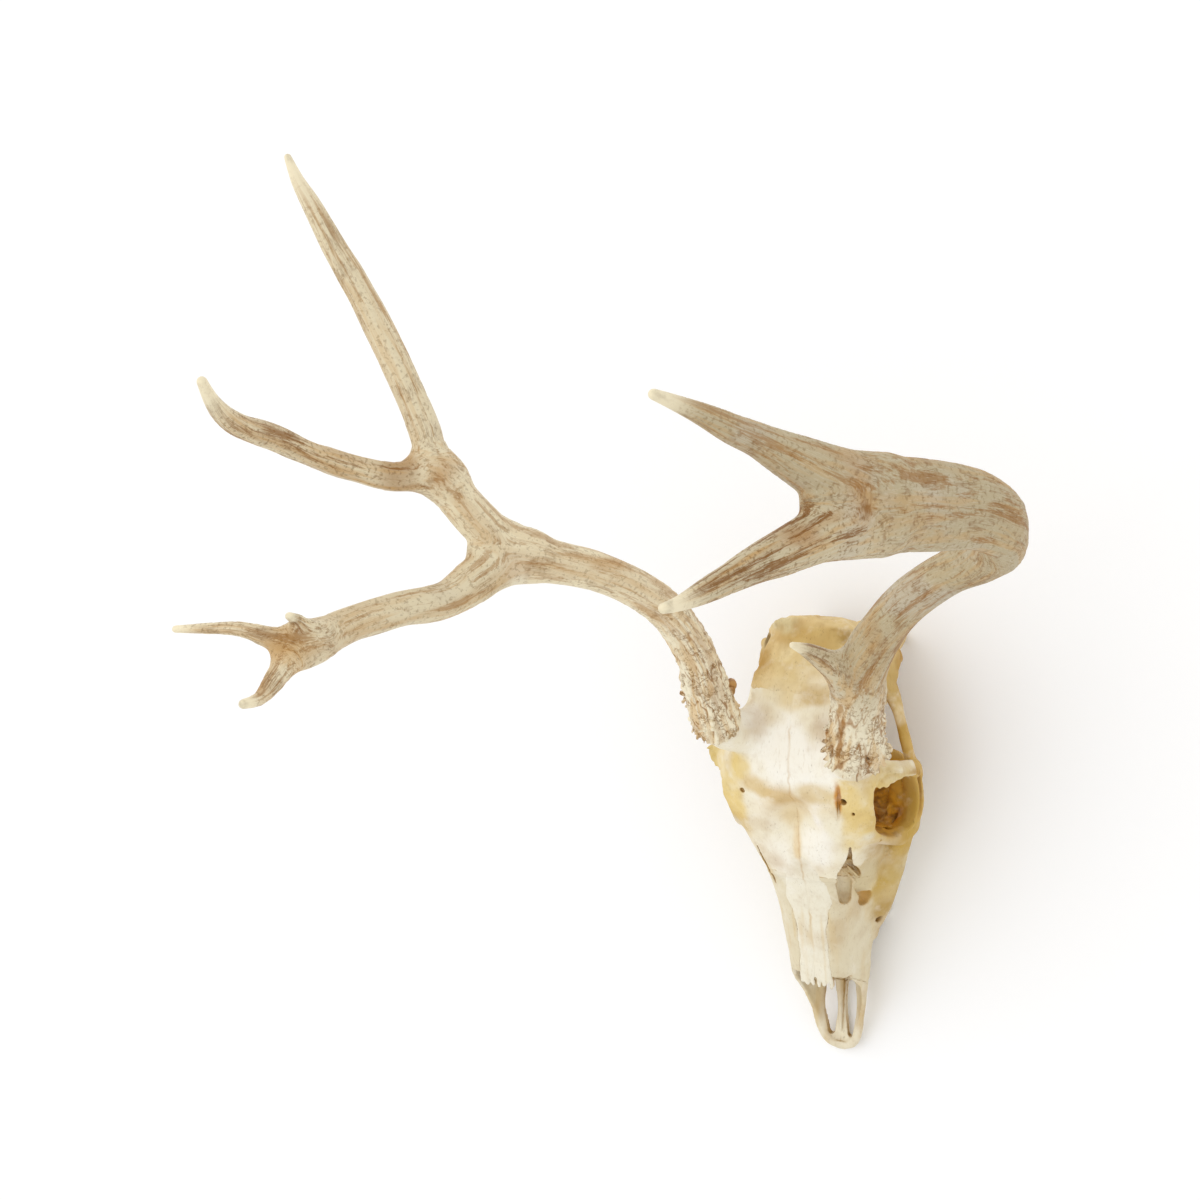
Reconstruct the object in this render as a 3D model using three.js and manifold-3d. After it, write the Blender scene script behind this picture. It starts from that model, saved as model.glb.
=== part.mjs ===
// Mule deer skull without its lower jaw, life size, with both antlers on their pedicles.
// Units are millimetres. +X is the animal's left, +Y the back of the head and +Z up.
// The skull rests on the flat crowns of its cheek teeth and on its two jugular processes, at z = 0.
// The whole skull is one mass of lofted forms. Thin cuts along the sutures part it into its bones.

import * as THREE from "three";
import { mergeVertices } from "three/addons/utils/BufferGeometryUtils.js";
import Module from "manifold-3d";

const wasm = await Module();
wasm.setup();

// ---------------------------------------------------------------------------------------------
// Driving dimensions

const SUTURE_GAP = 0.3; // clear width between two bones
const MIDLINE_GAP = 0.3; // clear width between a left bone and a right bone
const ANTLER_SIDES = 10; // facets round a beam
const TINE_SIDES = 7; // facets round a tine
const BAR_SIDES = 6; // facets round an arch, a rim or a process
const ORBIT_RADIUS = 21; // half the width of the eye socket
const FISSURE_HALF = 3.4; // half the width of a palatine fissure
const FISSURE_FROM = 12; // front end of the fissures
const FISSURE_TO = 45; // back end of the fissures
const FISSURE_OUT = 7.4; // distance of each fissure from the midline
const BURR_FLARE = 3.8; // how far the burr stands out round the base of the beam
const CROWN_TAPER = 1.4; // how much wider a tooth is at its root than at its worn face

const LEFT = 1;
const RIGHT = -1;
const SIDES = [LEFT, RIGHT];
const SIDE_NAMES = new Map([
  [LEFT, "left"],
  [RIGHT, "right"],
]);

// Lofted forms of the skull. Each row is a cross-section across the head:
// distance from the nose, lowest point, highest point, half width at the base, half width at the roof.

const MUZZLE = {
  sides: 14,
  power: 2.6,
  rows: [
    [0, 2.8, 6, 3.2, 2.6],
    [3, 2, 9, 9, 8],
    [10, 2, 12.5, 13.4, 12.4],
    [26, 3.5, 21, 16.6, 16],
    [40, 5.5, 33, 19.4, 18.6],
    [50, 7.5, 42, 21.4, 19.6],
    [60, 9, 49, 22.4, 19],
  ],
};
const FACE = {
  sides: 14,
  power: 3,
  rows: [
    [54, 9, 53, 21.6, 19.6],
    [78, 12, 60.8, 26.2, 22.2],
    [104, 15, 69.6, 33, 24.6],
    [126, 18, 80, 39.4, 29.4],
    [145, 25, 90, 43, 36.6],
    [155, 34, 95, 44, 41],
  ],
};
const FRONTAL_SHIELD = {
  sides: 14,
  power: 2.8,
  rows: [
    [126, 66, 80, 26, 22],
    [143, 72, 88.5, 37, 29],
    [156, 75, 96, 45, 33.5],
    [169, 78, 102.5, 52.5, 38],
    [184, 80, 109, 56, 40],
    [197, 80, 112, 53, 38],
    [210, 80, 112, 43.5, 32],
    [244, 68, 104.4, 38, 28],
  ],
};
const BRAINCASE = {
  sides: 14,
  power: 2.3,
  rows: [
    [192, 52, 99, 21, 23],
    [206, 43, 107, 28, 29],
    [220, 36, 109, 34, 34],
    [234, 32, 108, 38, 35],
    [248, 31, 104, 38.5, 33],
    [260, 33, 99, 34, 29.5],
    [269, 37, 94.5, 28, 26],
    [275, 45, 91, 22, 24],
    [278.6, 62, 87.6, 16, 20],
  ],
};
const MIDDLE_WALL = {
  sides: 8,
  power: 2.6,
  rows: [
    [118, 24, 70, 20, 18],
    [152, 24, 82, 16, 19],
    [214, 29, 82, 13, 20],
  ],
};
const SKULL_BASE = {
  sides: 10,
  power: 2.6,
  rows: [
    [196, 27, 50, 9, 13],
    [266, 26, 52, 13, 17],
  ],
};
const PALATE = {
  sides: 8,
  power: 4,
  rows: [
    [44, 8, 15, 15, 16],
    [96, 14, 22, 23, 23],
    [166, 16.5, 27, 24, 22],
    [176, 20, 27, 19, 16],
  ],
};
const NASAL_TIPS = {
  sides: 10,
  power: 2.6,
  rows: [
    [51, 49.6, 52.6, 8.6, 7],
    [55, 48.8, 54.2, 11, 9],
    [66, 50, 57.4, 14.5, 12],
  ],
};
const NASAL_CAVITY = {
  sides: 10,
  power: 2.6,
  rows: [
    [8, 7, 40, 7, 7],
    [16, 8, 50, 9.6, 10.6],
    [26, 9.5, 62, 12.6, 13],
    [42, 12, 50, 15.6, 15.4],
    [49, 13.5, 47.4, 17.2, 16],
    [72, 16, 54.2, 20, 17],
    [104, 22, 61, 23, 15],
  ],
};
const ALVEOLAR_RIDGE = {
  sides: 8,
  power: 3,
  rows: [
    [83, 14, 28, 3.6, 4.8],
    [98, 12, 37, 6, 7.6],
    [128, 11.5, 46, 8.2, 10],
    [160, 12, 45, 8, 9.4],
    [176, 21, 34, 3.6, 4.4],
  ],
  // Distance of the ridge from the midline at each row.
  out: [21.4, 23.6, 27.2, 28, 26.5],
};

// Bars of the skull's left side: X, Y, Z, half height, half thickness.
const CHEEK_ARCH = [
  [31, 118, 36, 6, 4],
  [38, 133, 40, 9, 5],
  [46.5, 149, 43, 10, 5],
  [54, 163, 46, 9.4, 4.4],
  [56.6, 176, 51, 8, 4],
  [56, 190, 57, 7, 3.6],
  [52, 206, 58.6, 5.6, 3],
  [46.6, 221, 57.6, 5.6, 3],
  [42, 234, 57, 7, 4],
  [35, 247, 57, 8, 5],
];
const POSTORBITAL_BAR = [
  [44, 196, 96, 11, 4.6],
  [51.5, 198, 89, 8.6, 3.8],
  [56, 199.5, 78, 6.6, 3.4],
  [56.8, 198, 66, 7, 3.2],
  [56, 194, 55, 7, 3],
];
const LACRIMAL_RIM = [
  [34, 164, 86, 6, 5],
  [39.6, 157.4, 78, 5, 5],
  [45, 154, 67, 5, 5.4],
  [49.4, 153, 55, 5.6, 5],
  [52, 157, 46, 5, 4],
];
const NUCHAL_RIDGE = [
  [13, 276, 86, 3.6, 3],
  [21.5, 273.5, 81, 3.6, 3],
  [28, 266, 72, 4, 3],
  [36, 256, 60, 4.6, 3.4],
  [39.6, 248, 54, 5, 4],
];
const PTERYGOID = [
  [15.5, 168, 30, 8, 3],
  [13.5, 184, 26, 8, 2.4],
  [12.5, 200, 25, 7, 2.2],
  [12, 216, 29, 5, 2.4],
];
const BULLA = [
  [20, 222, 34, 5, 5],
  [23, 229, 27, 8, 6],
  [25, 238, 25, 9, 7],
  [26.6, 247, 29, 7.6, 6.4],
  [27, 254, 36, 5, 5],
];
const JUGULAR_PROCESS = [
  [30, 256, 46, 8, 5],
  [29.8, 259.4, 28, 7, 3.6],
  [29, 262, 14, 5.4, 3.2],
  [28, 263, 5, 4.2, 2.8],
  [27.6, 263.2, -2, 3.6, 2.4],
];
const CONDYLE = [
  [5, 264, 30, 5, 5],
  [11, 268, 31, 7.4, 6],
  [17, 268.6, 36, 8, 6],
  [19, 265, 43, 6.6, 5.4],
];
const HORN_SEATS = new Map([
  [LEFT, { seat: [44, 213, 123], axis: [0.26, 0.52, 0.81], foot: [31, 207, 96], radius: 13.6 }],
  [RIGHT, { seat: [-37.6, 219.4, 123], axis: [-0.2, 0.54, 0.81], foot: [-25, 214, 96], radius: 11.2 }],
]);

// The eye socket as a hollow: X, Y, Z, half height, half width.
const ORBIT = [
  [72, 170, 71, ORBIT_RADIUS + 1, ORBIT_RADIUS + 1],
  [58, 174, 71, ORBIT_RADIUS, ORBIT_RADIUS],
  [44, 178, 71, ORBIT_RADIUS - 1, ORBIT_RADIUS],
  [31, 183, 71, ORBIT_RADIUS - 5, ORBIT_RADIUS - 4],
  [19, 188, 70, 6, 6],
];
// The gap in the face before the eye, where four bones fail to meet: X, Y, Z, half height, half width.
const FACE_GAP = [
  [34, 119, 84, 7, 12],
  [20, 128, 68, 6.5, 11.5],
  [13, 132, 62, 5, 9],
];
const FORAMEN_MAGNUM = [
  [0, 300, 48, 9, 10],
  [0, 276, 48, 9, 10],
  [0, 258, 50, 7, 8],
];

// Cheek teeth of one side: Y of the centre, X of the centre, length, breadth.
const TEETH = [
  [92.6, 22.8, 9.4, 7.8],
  [103.2, 24.2, 10.4, 9.6],
  [114.2, 25.8, 10.6, 11],
  [127, 27.2, 14, 13],
  [142.6, 28, 16, 13.8],
  [158.8, 27.6, 15.6, 12.8],
];

// Antler branches: X, Y, Z, half breadth, half thickness along each centreline.
const LEFT_BEAM = [
  [53.7, 251.6, 149.5, 14.2, 13.4],
  [64.6, 273.3, 166, 13.4, 12.6],
  [79.9, 293, 180.7, 12, 12],
  [98.3, 310.2, 194, 11.4, 11.4],
  [119.8, 324.4, 205.9, 11.4, 11.6],
  [138.6, 333.8, 215.4, 12.6, 12],
  [151.4, 343.2, 228, 14.6, 12],
  [156.4, 353, 246.9, 16.4, 11.6],
  [150.2, 360.2, 271.7, 18.8, 11.4],
  [140.1, 362.9, 299.2, 20.7, 11.2],
  [130.7, 364.1, 326.5, 22.6, 11],
  [122.2, 365.1, 349, 23.4, 9.6],
];
const LEFT_UPPER_TINE = [
  [126, 366, 337, 14, 8],
  [120, 370, 353, 14, 9],
  [111, 378, 371.1, 13, 9.6],
  [103.6, 386.6, 387.4, 9.6, 8.4],
  [97.8, 392.5, 403.1, 7.4, 7],
  [92.3, 397.9, 418.8, 6.1, 5.8],
  [86.7, 403.1, 433.5, 4.8, 4.6],
  [81.1, 407.8, 448.2, 3.4, 3.2],
  [76.5, 412, 463.6, 1, 1],
];
const LEFT_LOWER_TINE = [
  [127, 362, 337, 14, 8],
  [120.6, 360, 353, 14, 9],
  [113.9, 354.8, 372.6, 12.6, 9.6],
  [108, 347.8, 388.9, 10.1, 8.6],
  [102, 342.4, 406.3, 8.3, 7.4],
  [96.9, 337.5, 423.1, 6.7, 6],
  [91.7, 332.4, 438.9, 5, 4.6],
  [87.4, 328.5, 454.1, 3, 3],
  [84.3, 326.9, 464.9, 1, 1],
];
const LEFT_BROW_TINE = [
  [55, 251, 149, 11, 10],
  [48.9, 262.3, 162.1, 9.4, 8],
  [43.2, 270.6, 177.6, 6.1, 5.6],
  [39.7, 276.7, 192.2, 3.7, 3.4],
  [36.5, 281.2, 206.8, 1, 1],
];
const RIGHT_BEAM = [
  [-37.2, 250, 151, 10.8, 12],
  [-37.4, 268.4, 165.7, 10.4, 11.6],
  [-43, 291.4, 190.2, 9.9, 11],
  [-55.2, 305.4, 209.9, 9.9, 10.6],
  [-68.3, 314, 229.1, 10.6, 10.4],
  [-84.1, 319.8, 250.1, 12, 10.4],
  [-97, 323.6, 264, 15.4, 10],
];
const RIGHT_REAR_BRANCH = [
  [-90, 321.5, 257, 9, 8.4],
  [-99, 327, 266.5, 11.4, 9.4],
  [-107.6, 337.6, 275.7, 11.3, 9.8],
  [-119, 351.8, 283.1, 10.8, 9.6],
  [-129, 365, 288.6, 11.6, 9],
];
const RIGHT_LONG_TINE = [
  [-124, 360.5, 286.5, 8.4, 7],
  [-130.4, 370, 289.3, 9.4, 8],
  [-135.7, 387.2, 291, 8.5, 8],
  [-143.9, 408.9, 295.4, 7.9, 7.8],
  [-157.8, 440.2, 303.1, 7.4, 7.4],
  [-167.3, 462.2, 311.1, 7.1, 7],
  [-175, 480.2, 318.7, 6.3, 6],
  [-183.4, 498.5, 324.7, 5, 4.8],
  [-188, 509.6, 329.8, 3.5, 3.4],
  [-192.3, 522.7, 333.8, 1, 1],
];
const RIGHT_SHORT_TINE = [
  [-125, 362, 284, 8, 7],
  [-131.5, 364.5, 292, 8.6, 8],
  [-141, 362.6, 308.5, 7.1, 7.4],
  [-152, 367.8, 333.1, 6.5, 7],
  [-158.5, 374.7, 358.2, 6.1, 6.6],
  [-162.3, 382.8, 381.8, 6.2, 6],
  [-164.5, 388.4, 404.8, 6.1, 5.6],
  [-162.1, 394.7, 423.1, 5.1, 4.8],
  [-159.4, 402.2, 435.5, 3.6, 3.4],
  [-155.9, 411.3, 447.2, 1.2, 1.2],
];
const RIGHT_FRONT_BRANCH = [
  [-91, 323.5, 256, 9, 8.4],
  [-98.6, 321, 267, 11.4, 9.4],
  [-105.4, 313.4, 284.4, 11.3, 9.6],
  [-112.4, 303.5, 305.3, 9.3, 9],
  [-122, 298.6, 331.3, 8.7, 8.6],
  [-130, 294, 358.7, 8.8, 8.2],
  [-134.6, 288.4, 381, 9.4, 7.6],
  [-137, 285, 394, 9.8, 7],
];
const RIGHT_OUTER_FORK = [
  [-134.5, 287, 387, 5.6, 5],
  [-138.2, 287, 397.2, 6.4, 5.6],
  [-146.1, 290.6, 408, 4.7, 4.6],
  [-157.7, 294, 413.5, 3.5, 3.5],
  [-177.7, 292.7, 414.9, 2.6, 2.6],
  [-196.7, 291, 415.8, 1, 1],
];
const RIGHT_INNER_FORK = [
  [-136, 286, 386, 5.6, 5],
  [-138.2, 281.6, 398.5, 6.4, 5.4],
  [-138.1, 271.5, 413.1, 4.7, 4.4],
  [-136.9, 264.5, 427, 3.2, 3.2],
  [-137.2, 263.6, 440.9, 1, 1],
];
const RIGHT_SPUR = [
  [-133, 289, 383, 5.4, 5],
  [-134.2, 293, 393, 4.2, 4],
  [-133.5, 299.2, 402.6, 2.8, 2.8],
  [-133.1, 302.4, 411.1, 1.2, 1.2],
];

// Directions that a branch is broadest in: along the plane of its fork.
const PALM_PLANE = [0, 1, 0.1];
const RIGHT_FORK_PLANE = [-0.2, 0.9, -0.45];
const UPPER_FORK_PLANE = [0.1, 0.6, -0.8];
const FRONT_FORK_PLANE = [-0.5, 0.86, 0.1];
const UPRIGHT = [0, 0, 1];

// ---------------------------------------------------------------------------------------------
// Solids from lofts

const vector = (p) => new THREE.Vector3(p[0], p[1], p[2]);

// One superellipse of a loft across the head.
function sectionRing([y, low, high, base, roof], { sides, power }, out) {
  const ring = [];
  for (let i = 0; i < sides; i += 1) {
    const angle = (2 * Math.PI * (i + 0.5)) / sides;
    const across = Math.sign(Math.cos(angle)) * Math.abs(Math.cos(angle)) ** (2 / power);
    const rise = Math.sign(Math.sin(angle)) * Math.abs(Math.sin(angle)) ** (2 / power);
    const share = (rise + 1) / 2;
    const half = THREE.MathUtils.lerp(base, roof, share);
    ring.push(new THREE.Vector3(out + half * across, y, THREE.MathUtils.lerp(low, high, share)));
  }
  return ring;
}

// A closed body through rings of equal count. The rings turn from +X towards +Z as seen from the front.
function skin(rings) {
  const count = rings[0].length;
  const positions = rings.flat().flatMap((p) => [p.x, p.y, p.z]);
  const index = [];
  for (let k = 0; k + 1 < rings.length; k += 1) {
    for (let i = 0; i < count; i += 1) {
      const here = k * count + i;
      const next = k * count + ((i + 1) % count);
      index.push(here, here + count, next, next, here + count, next + count);
    }
  }
  const last = (rings.length - 1) * count;
  for (let i = 1; i + 1 < count; i += 1) {
    index.push(0, i, i + 1, last, last + i + 1, last + i);
  }
  const geometry = new THREE.BufferGeometry();
  geometry.setAttribute("position", new THREE.Float32BufferAttribute(positions, 3));
  geometry.setIndex(index);
  return geometry;
}

// A closed mesh as a solid, mirrored for the right side.
function solid(geometry, side = LEFT) {
  const plain = new THREE.BufferGeometry();
  plain.setAttribute("position", geometry.getAttribute("position").clone());
  plain.setIndex(geometry.index);
  const welded = mergeVertices(plain, 1e-4);
  if (side === RIGHT) {
    welded.scale(-1, 1, 1);
  }
  const triVerts = new Uint32Array(welded.index.array);
  if (side === RIGHT) {
    triVerts.reverse();
  }
  const vertProperties = new Float32Array(welded.attributes.position.array);
  return new wasm.Manifold(new wasm.Mesh({ numProp: 3, vertProperties, triVerts }));
}

const loft = (form, side = LEFT) => {
  const rings = form.rows.map((row, i) => sectionRing(row, form, form.out ? form.out[i] : 0));
  return solid(skin(rings), side);
};

// A bar along a smooth line through its points, broadest in the direction of the wide axis.
// A swell makes it bigger all over, its two ends included.
function bar(points, wideAxis, sides, side = LEFT, swell = 0) {
  const line = new THREE.CatmullRomCurve3(points.map(vector), false, "centripetal");
  const wide = vector(wideAxis);
  const rings = points.map((point, k) => {
    const along = line.getTangent(k / (points.length - 1));
    const broad = wide.clone().addScaledVector(along, -wide.dot(along)).normalize();
    const thick = new THREE.Vector3().crossVectors(broad, along);
    const ends = new Map([
      [0, -swell],
      [points.length - 1, swell],
    ]);
    const centre = vector(point).addScaledVector(along, ends.get(k) ?? 0);
    const ring = [];
    for (let i = 0; i < sides; i += 1) {
      const angle = (2 * Math.PI * (i + 0.5)) / sides;
      ring.push(
        centre
          .clone()
          .addScaledVector(broad, (point[3] + swell) * Math.cos(angle))
          .addScaledVector(thick, (point[4] + swell) * Math.sin(angle)),
      );
    }
    return ring;
  });
  return solid(skin(rings), side);
}

// A tooth with a flat worn face at z = 0.
function tooth([y, x, length, breadth], side) {
  const rings = [
    [0, 0],
    [17, CROWN_TAPER],
  ].map(([z, wider]) => {
    const ring = [];
    for (let i = 0; i < 8; i += 1) {
      const angle = (2 * Math.PI * (i + 0.5)) / 8;
      const across = Math.sign(Math.cos(angle)) * Math.abs(Math.cos(angle)) ** 0.6;
      const along = Math.sign(Math.sin(angle)) * Math.abs(Math.sin(angle)) ** 0.6;
      ring.push(new THREE.Vector3(x + (breadth / 2 + wider) * across, y - (length / 2) * along, z));
    }
    return ring;
  });
  return solid(skin(rings), side);
}

const join = (solids) => wasm.Manifold.union(solids);
const both = (make) => SIDES.map(make);

// A straight prism: an outline in one plane, pushed along the third axis.
function prism(outline, plane, from, to) {
  const shape = new THREE.Shape(outline.map(([a, b]) => new THREE.Vector2(a, b)));
  const geometry = new THREE.ExtrudeGeometry(shape, { depth: to - from, bevelEnabled: false });
  geometry.deleteAttribute("normal");
  geometry.deleteAttribute("uv");
  geometry.translate(0, 0, from);
  if (plane === "yz") {
    geometry.applyMatrix4(new THREE.Matrix4().set(0, 0, 1, 0, 1, 0, 0, 0, 0, 1, 0, 0, 0, 0, 0, 1));
  }
  return solid(mergeVertices(geometry, 1e-4));
}

// Thin walls along the edges of an outline, as deep as its prism.
function walls(outline, plane, from, to) {
  const strips = outline.map((start, i) => {
    const end = outline[(i + 1) % outline.length];
    const run = Math.hypot(end[0] - start[0], end[1] - start[1]);
    const a = ((end[0] - start[0]) / run) * (SUTURE_GAP / 2);
    const b = ((end[1] - start[1]) / run) * (SUTURE_GAP / 2);
    return prism(
      [
        [start[0] - a - b, start[1] - b + a],
        [start[0] - a + b, start[1] - b - a],
        [end[0] + a + b, end[1] + b - a],
        [end[0] + a - b, end[1] + b + a],
      ],
      plane,
      from,
      to,
    );
  });
  return join(strips);
}

// The biggest body of a solid, without the slivers that a cut leaves beside it.
function biggest(cut) {
  const bodies = cut.decompose();
  return bodies.reduce((best, body) => (body.volume() > best.volume() ? body : best));
}

// ---------------------------------------------------------------------------------------------
// The skull as one mass

function pedicle(side) {
  const { seat, axis, foot, radius } = HORN_SEATS.get(side);
  const up = vector(axis).normalize();
  const top = vector(seat);
  const beyond = top.clone().addScaledVector(up, 6);
  const below = top.clone().addScaledVector(up, -7);
  const points = [
    [...foot, radius + 2, radius + 2],
    [below.x, below.y, below.z, radius + 0.6, radius + 0.6],
    [top.x, top.y, top.z, radius, radius],
    [beyond.x, beyond.y, beyond.z, radius, radius],
  ];
  const stem = bar(points, [0, 1, 0], ANTLER_SIDES);
  const down = up.clone().negate();
  return stem.trimByPlane([down.x, down.y, down.z], -up.dot(top) + SUTURE_GAP / 2);
}

function skullMass() {
  const middle = [MUZZLE, FACE, FRONTAL_SHIELD, BRAINCASE, MIDDLE_WALL, SKULL_BASE, PALATE];
  const forms = middle.map((form) => loft(form));
  const paired = [
    [CHEEK_ARCH, UPRIGHT],
    [POSTORBITAL_BAR, [0, 1, 0]],
    [LACRIMAL_RIM, [0, 1, 0]],
    [NUCHAL_RIDGE, UPRIGHT],
    [PTERYGOID, UPRIGHT],
    [BULLA, UPRIGHT],
    [JUGULAR_PROCESS, [0, 1, 0]],
    [CONDYLE, UPRIGHT],
  ];
  const bars = paired.flatMap(([points, wide]) => both((side) => bar(points, wide, BAR_SIDES, side)));
  const ridges = both((side) => loft(ALVEOLAR_RIDGE, side));
  const hollows = [
    loft(NASAL_CAVITY),
    bar(FORAMEN_MAGNUM, UPRIGHT, BAR_SIDES),
    ...both((side) => bar(ORBIT, UPRIGHT, 14, side)),
    ...both((side) => bar(FACE_GAP, UPRIGHT, BAR_SIDES, side)),
    ...both((side) => fissure(side)),
  ];
  const mass = join([...forms, ...bars, ...ridges]).subtract(join(hollows));
  const tips = loft(NASAL_TIPS);
  const teeth = both((side) => TEETH.map((row) => tooth(row, side))).flat();
  const whole = join([mass, tips, ...teeth, ...both(pedicle)]);
  return whole.trimByPlane([0, 0, 1], 0);
}

// A long slot through the floor of the muzzle beside the midline.
function fissure(side) {
  const outline = [];
  const middle = (FISSURE_FROM + FISSURE_TO) / 2;
  const reach = (FISSURE_TO - FISSURE_FROM) / 2;
  for (let i = 0; i < 12; i += 1) {
    const angle = (2 * Math.PI * i) / 12;
    outline.push([
      side * FISSURE_OUT + FISSURE_HALF * Math.cos(angle),
      middle + reach * Math.sign(Math.sin(angle)) * Math.abs(Math.sin(angle)) ** 0.8,
    ]);
  }
  return prism(outline, "xy", -5, 16);
}

// ---------------------------------------------------------------------------------------------
// The bones. Each region is an outline in plan or from the side, with its reach along the third axis.

// Roof bones lie above a line that climbs with the profile of the face.
const NASAL_OUTLINE = [
  [0, 40],
  [11.4, 40],
  [10.8, 96],
  [12.4, 122],
  [4, 139],
  [0, 140],
];
const NASAL_FLOOR = [
  [40, 43.5],
  [49, 46.2],
  [60, 49.2],
  [80, 54.6],
  [104, 60],
  [120, 69],
  [141, 80],
  [141, 130],
  [40, 130],
];
const PREMAXILLA_SIDE = [
  [-20, -20],
  [42.5, -20],
  [46, 8],
  [50, 22],
  [60.5, 49],
  [62, 80],
  [-20, 80],
];
const FRONTAL_SIDE = [
  [131, 74],
  [146, 74],
  [158, 80],
  [174, 80],
  [190, 74],
  [207, 72],
  [214, 86],
  [238, 88],
  [243, 160],
  [131, 160],
];
const ZYGOMATIC_SIDE = [
  [142, 32],
  [211, 48],
  [203, 66],
  [206, 73],
  [186, 73],
  [158, 58],
  [144, 51],
];
const LACRIMAL_SIDE = [
  [127, 54],
  [140, 50.5],
  [166, 50.5],
  [166, 84],
  [128, 84],
];
const MAXILLA_SIDE = [
  [40, -10],
  [182, -10],
  [182, 30],
  [168, 46],
  [128, 62],
  [128, 90],
  [40, 90],
];

// Cuts one bone out of the mass along thin walls, and hands back the bone and what is left.
function takeBone(mass, outline, plane, side, [from, to], above) {
  const signed = plane === "xy" ? outline.map(([x, y]) => [side * x, y]) : outline;
  const [low, high] = side === LEFT || plane === "xy" ? [from, to] : [-to, -from];
  let region = prism(plane === "xy" && side === RIGHT ? signed.reverse() : signed, plane, low, high);
  let kerf = walls(signed, plane, low - SUTURE_GAP, high + SUTURE_GAP);
  if (above) {
    const reach = side === LEFT ? [-1, 60] : [-60, 1];
    kerf = join([
      kerf.intersect(prism(above, "yz", reach[0], reach[1])),
      walls(above, "yz", reach[0], reach[1]).intersect(region),
    ]);
    region = region.intersect(prism(above, "yz", reach[0], reach[1]));
  }
  if (plane === "yz") {
    kerf = join([kerf, prism(outline, "yz", low - SUTURE_GAP, low), prism(outline, "yz", high, high + SUTURE_GAP)]);
  }
  const parted = mass.subtract(kerf);
  return [biggest(parted.intersect(region)), parted.subtract(region)];
}

function skullBones() {
  const bones = new Map();
  let mass = skullMass();
  const steps = [
    ["nasal", NASAL_OUTLINE, "xy", [-10, 130], NASAL_FLOOR],
    ["premaxilla", PREMAXILLA_SIDE, "yz", [0, 80], null],
    ["frontal", FRONTAL_SIDE, "yz", [0, 90], null],
    ["zygomatic", ZYGOMATIC_SIDE, "yz", [39, 90], null],
    ["lacrimal", LACRIMAL_SIDE, "yz", [24, 90], null],
    ["maxilla", MAXILLA_SIDE, "yz", [0, 90], null],
  ];
  for (const [name, outline, plane, reach, above] of steps) {
    for (const side of SIDES) {
      const [bone, rest] = takeBone(mass, outline, plane, side, reach, above);
      const clear = [side, 0, 0];
      bones.set(name + "_" + SIDE_NAMES.get(side), bone.trimByPlane(clear, MIDLINE_GAP / 2));
      mass = rest;
    }
  }
  bones.set("braincase", biggest(mass));
  return bones;
}

// ---------------------------------------------------------------------------------------------
// The antlers

// The beam starts flat on its pedicle with a burr, a ring of knobs that stands out round its base.
function beamWithBurr(side, spine, wide) {
  const { seat, axis } = HORN_SEATS.get(side);
  const up = vector(axis).normalize();
  const top = vector(seat);
  const [broad, thick] = [spine[0][3] + 0.6, spine[0][4] + 0.6];
  const burr = [
    [-4, 0],
    [1, BURR_FLARE * 0.6],
    [4, BURR_FLARE],
    [8, BURR_FLARE],
    [12, 0.6],
  ].map(([rise, flare]) => {
    const at = top.clone().addScaledVector(up, rise);
    return [at.x, at.y, at.z, broad + flare, thick + flare];
  });
  const stem = bar([...burr, ...spine], wide, ANTLER_SIDES);
  return stem.trimByPlane([up.x, up.y, up.z], up.dot(top) + SUTURE_GAP / 2);
}

// Each antler is built from its burr outwards. A branch is cut back from the one that carries it.
function grow(parts, name, carrier, points, wide, sides) {
  const branch = bar(points, wide, sides).subtract(carrier.clearance);
  parts.set(name, biggest(branch));
  return { clearance: bar(points, wide, sides, LEFT, SUTURE_GAP * 1.3) };
}

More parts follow.
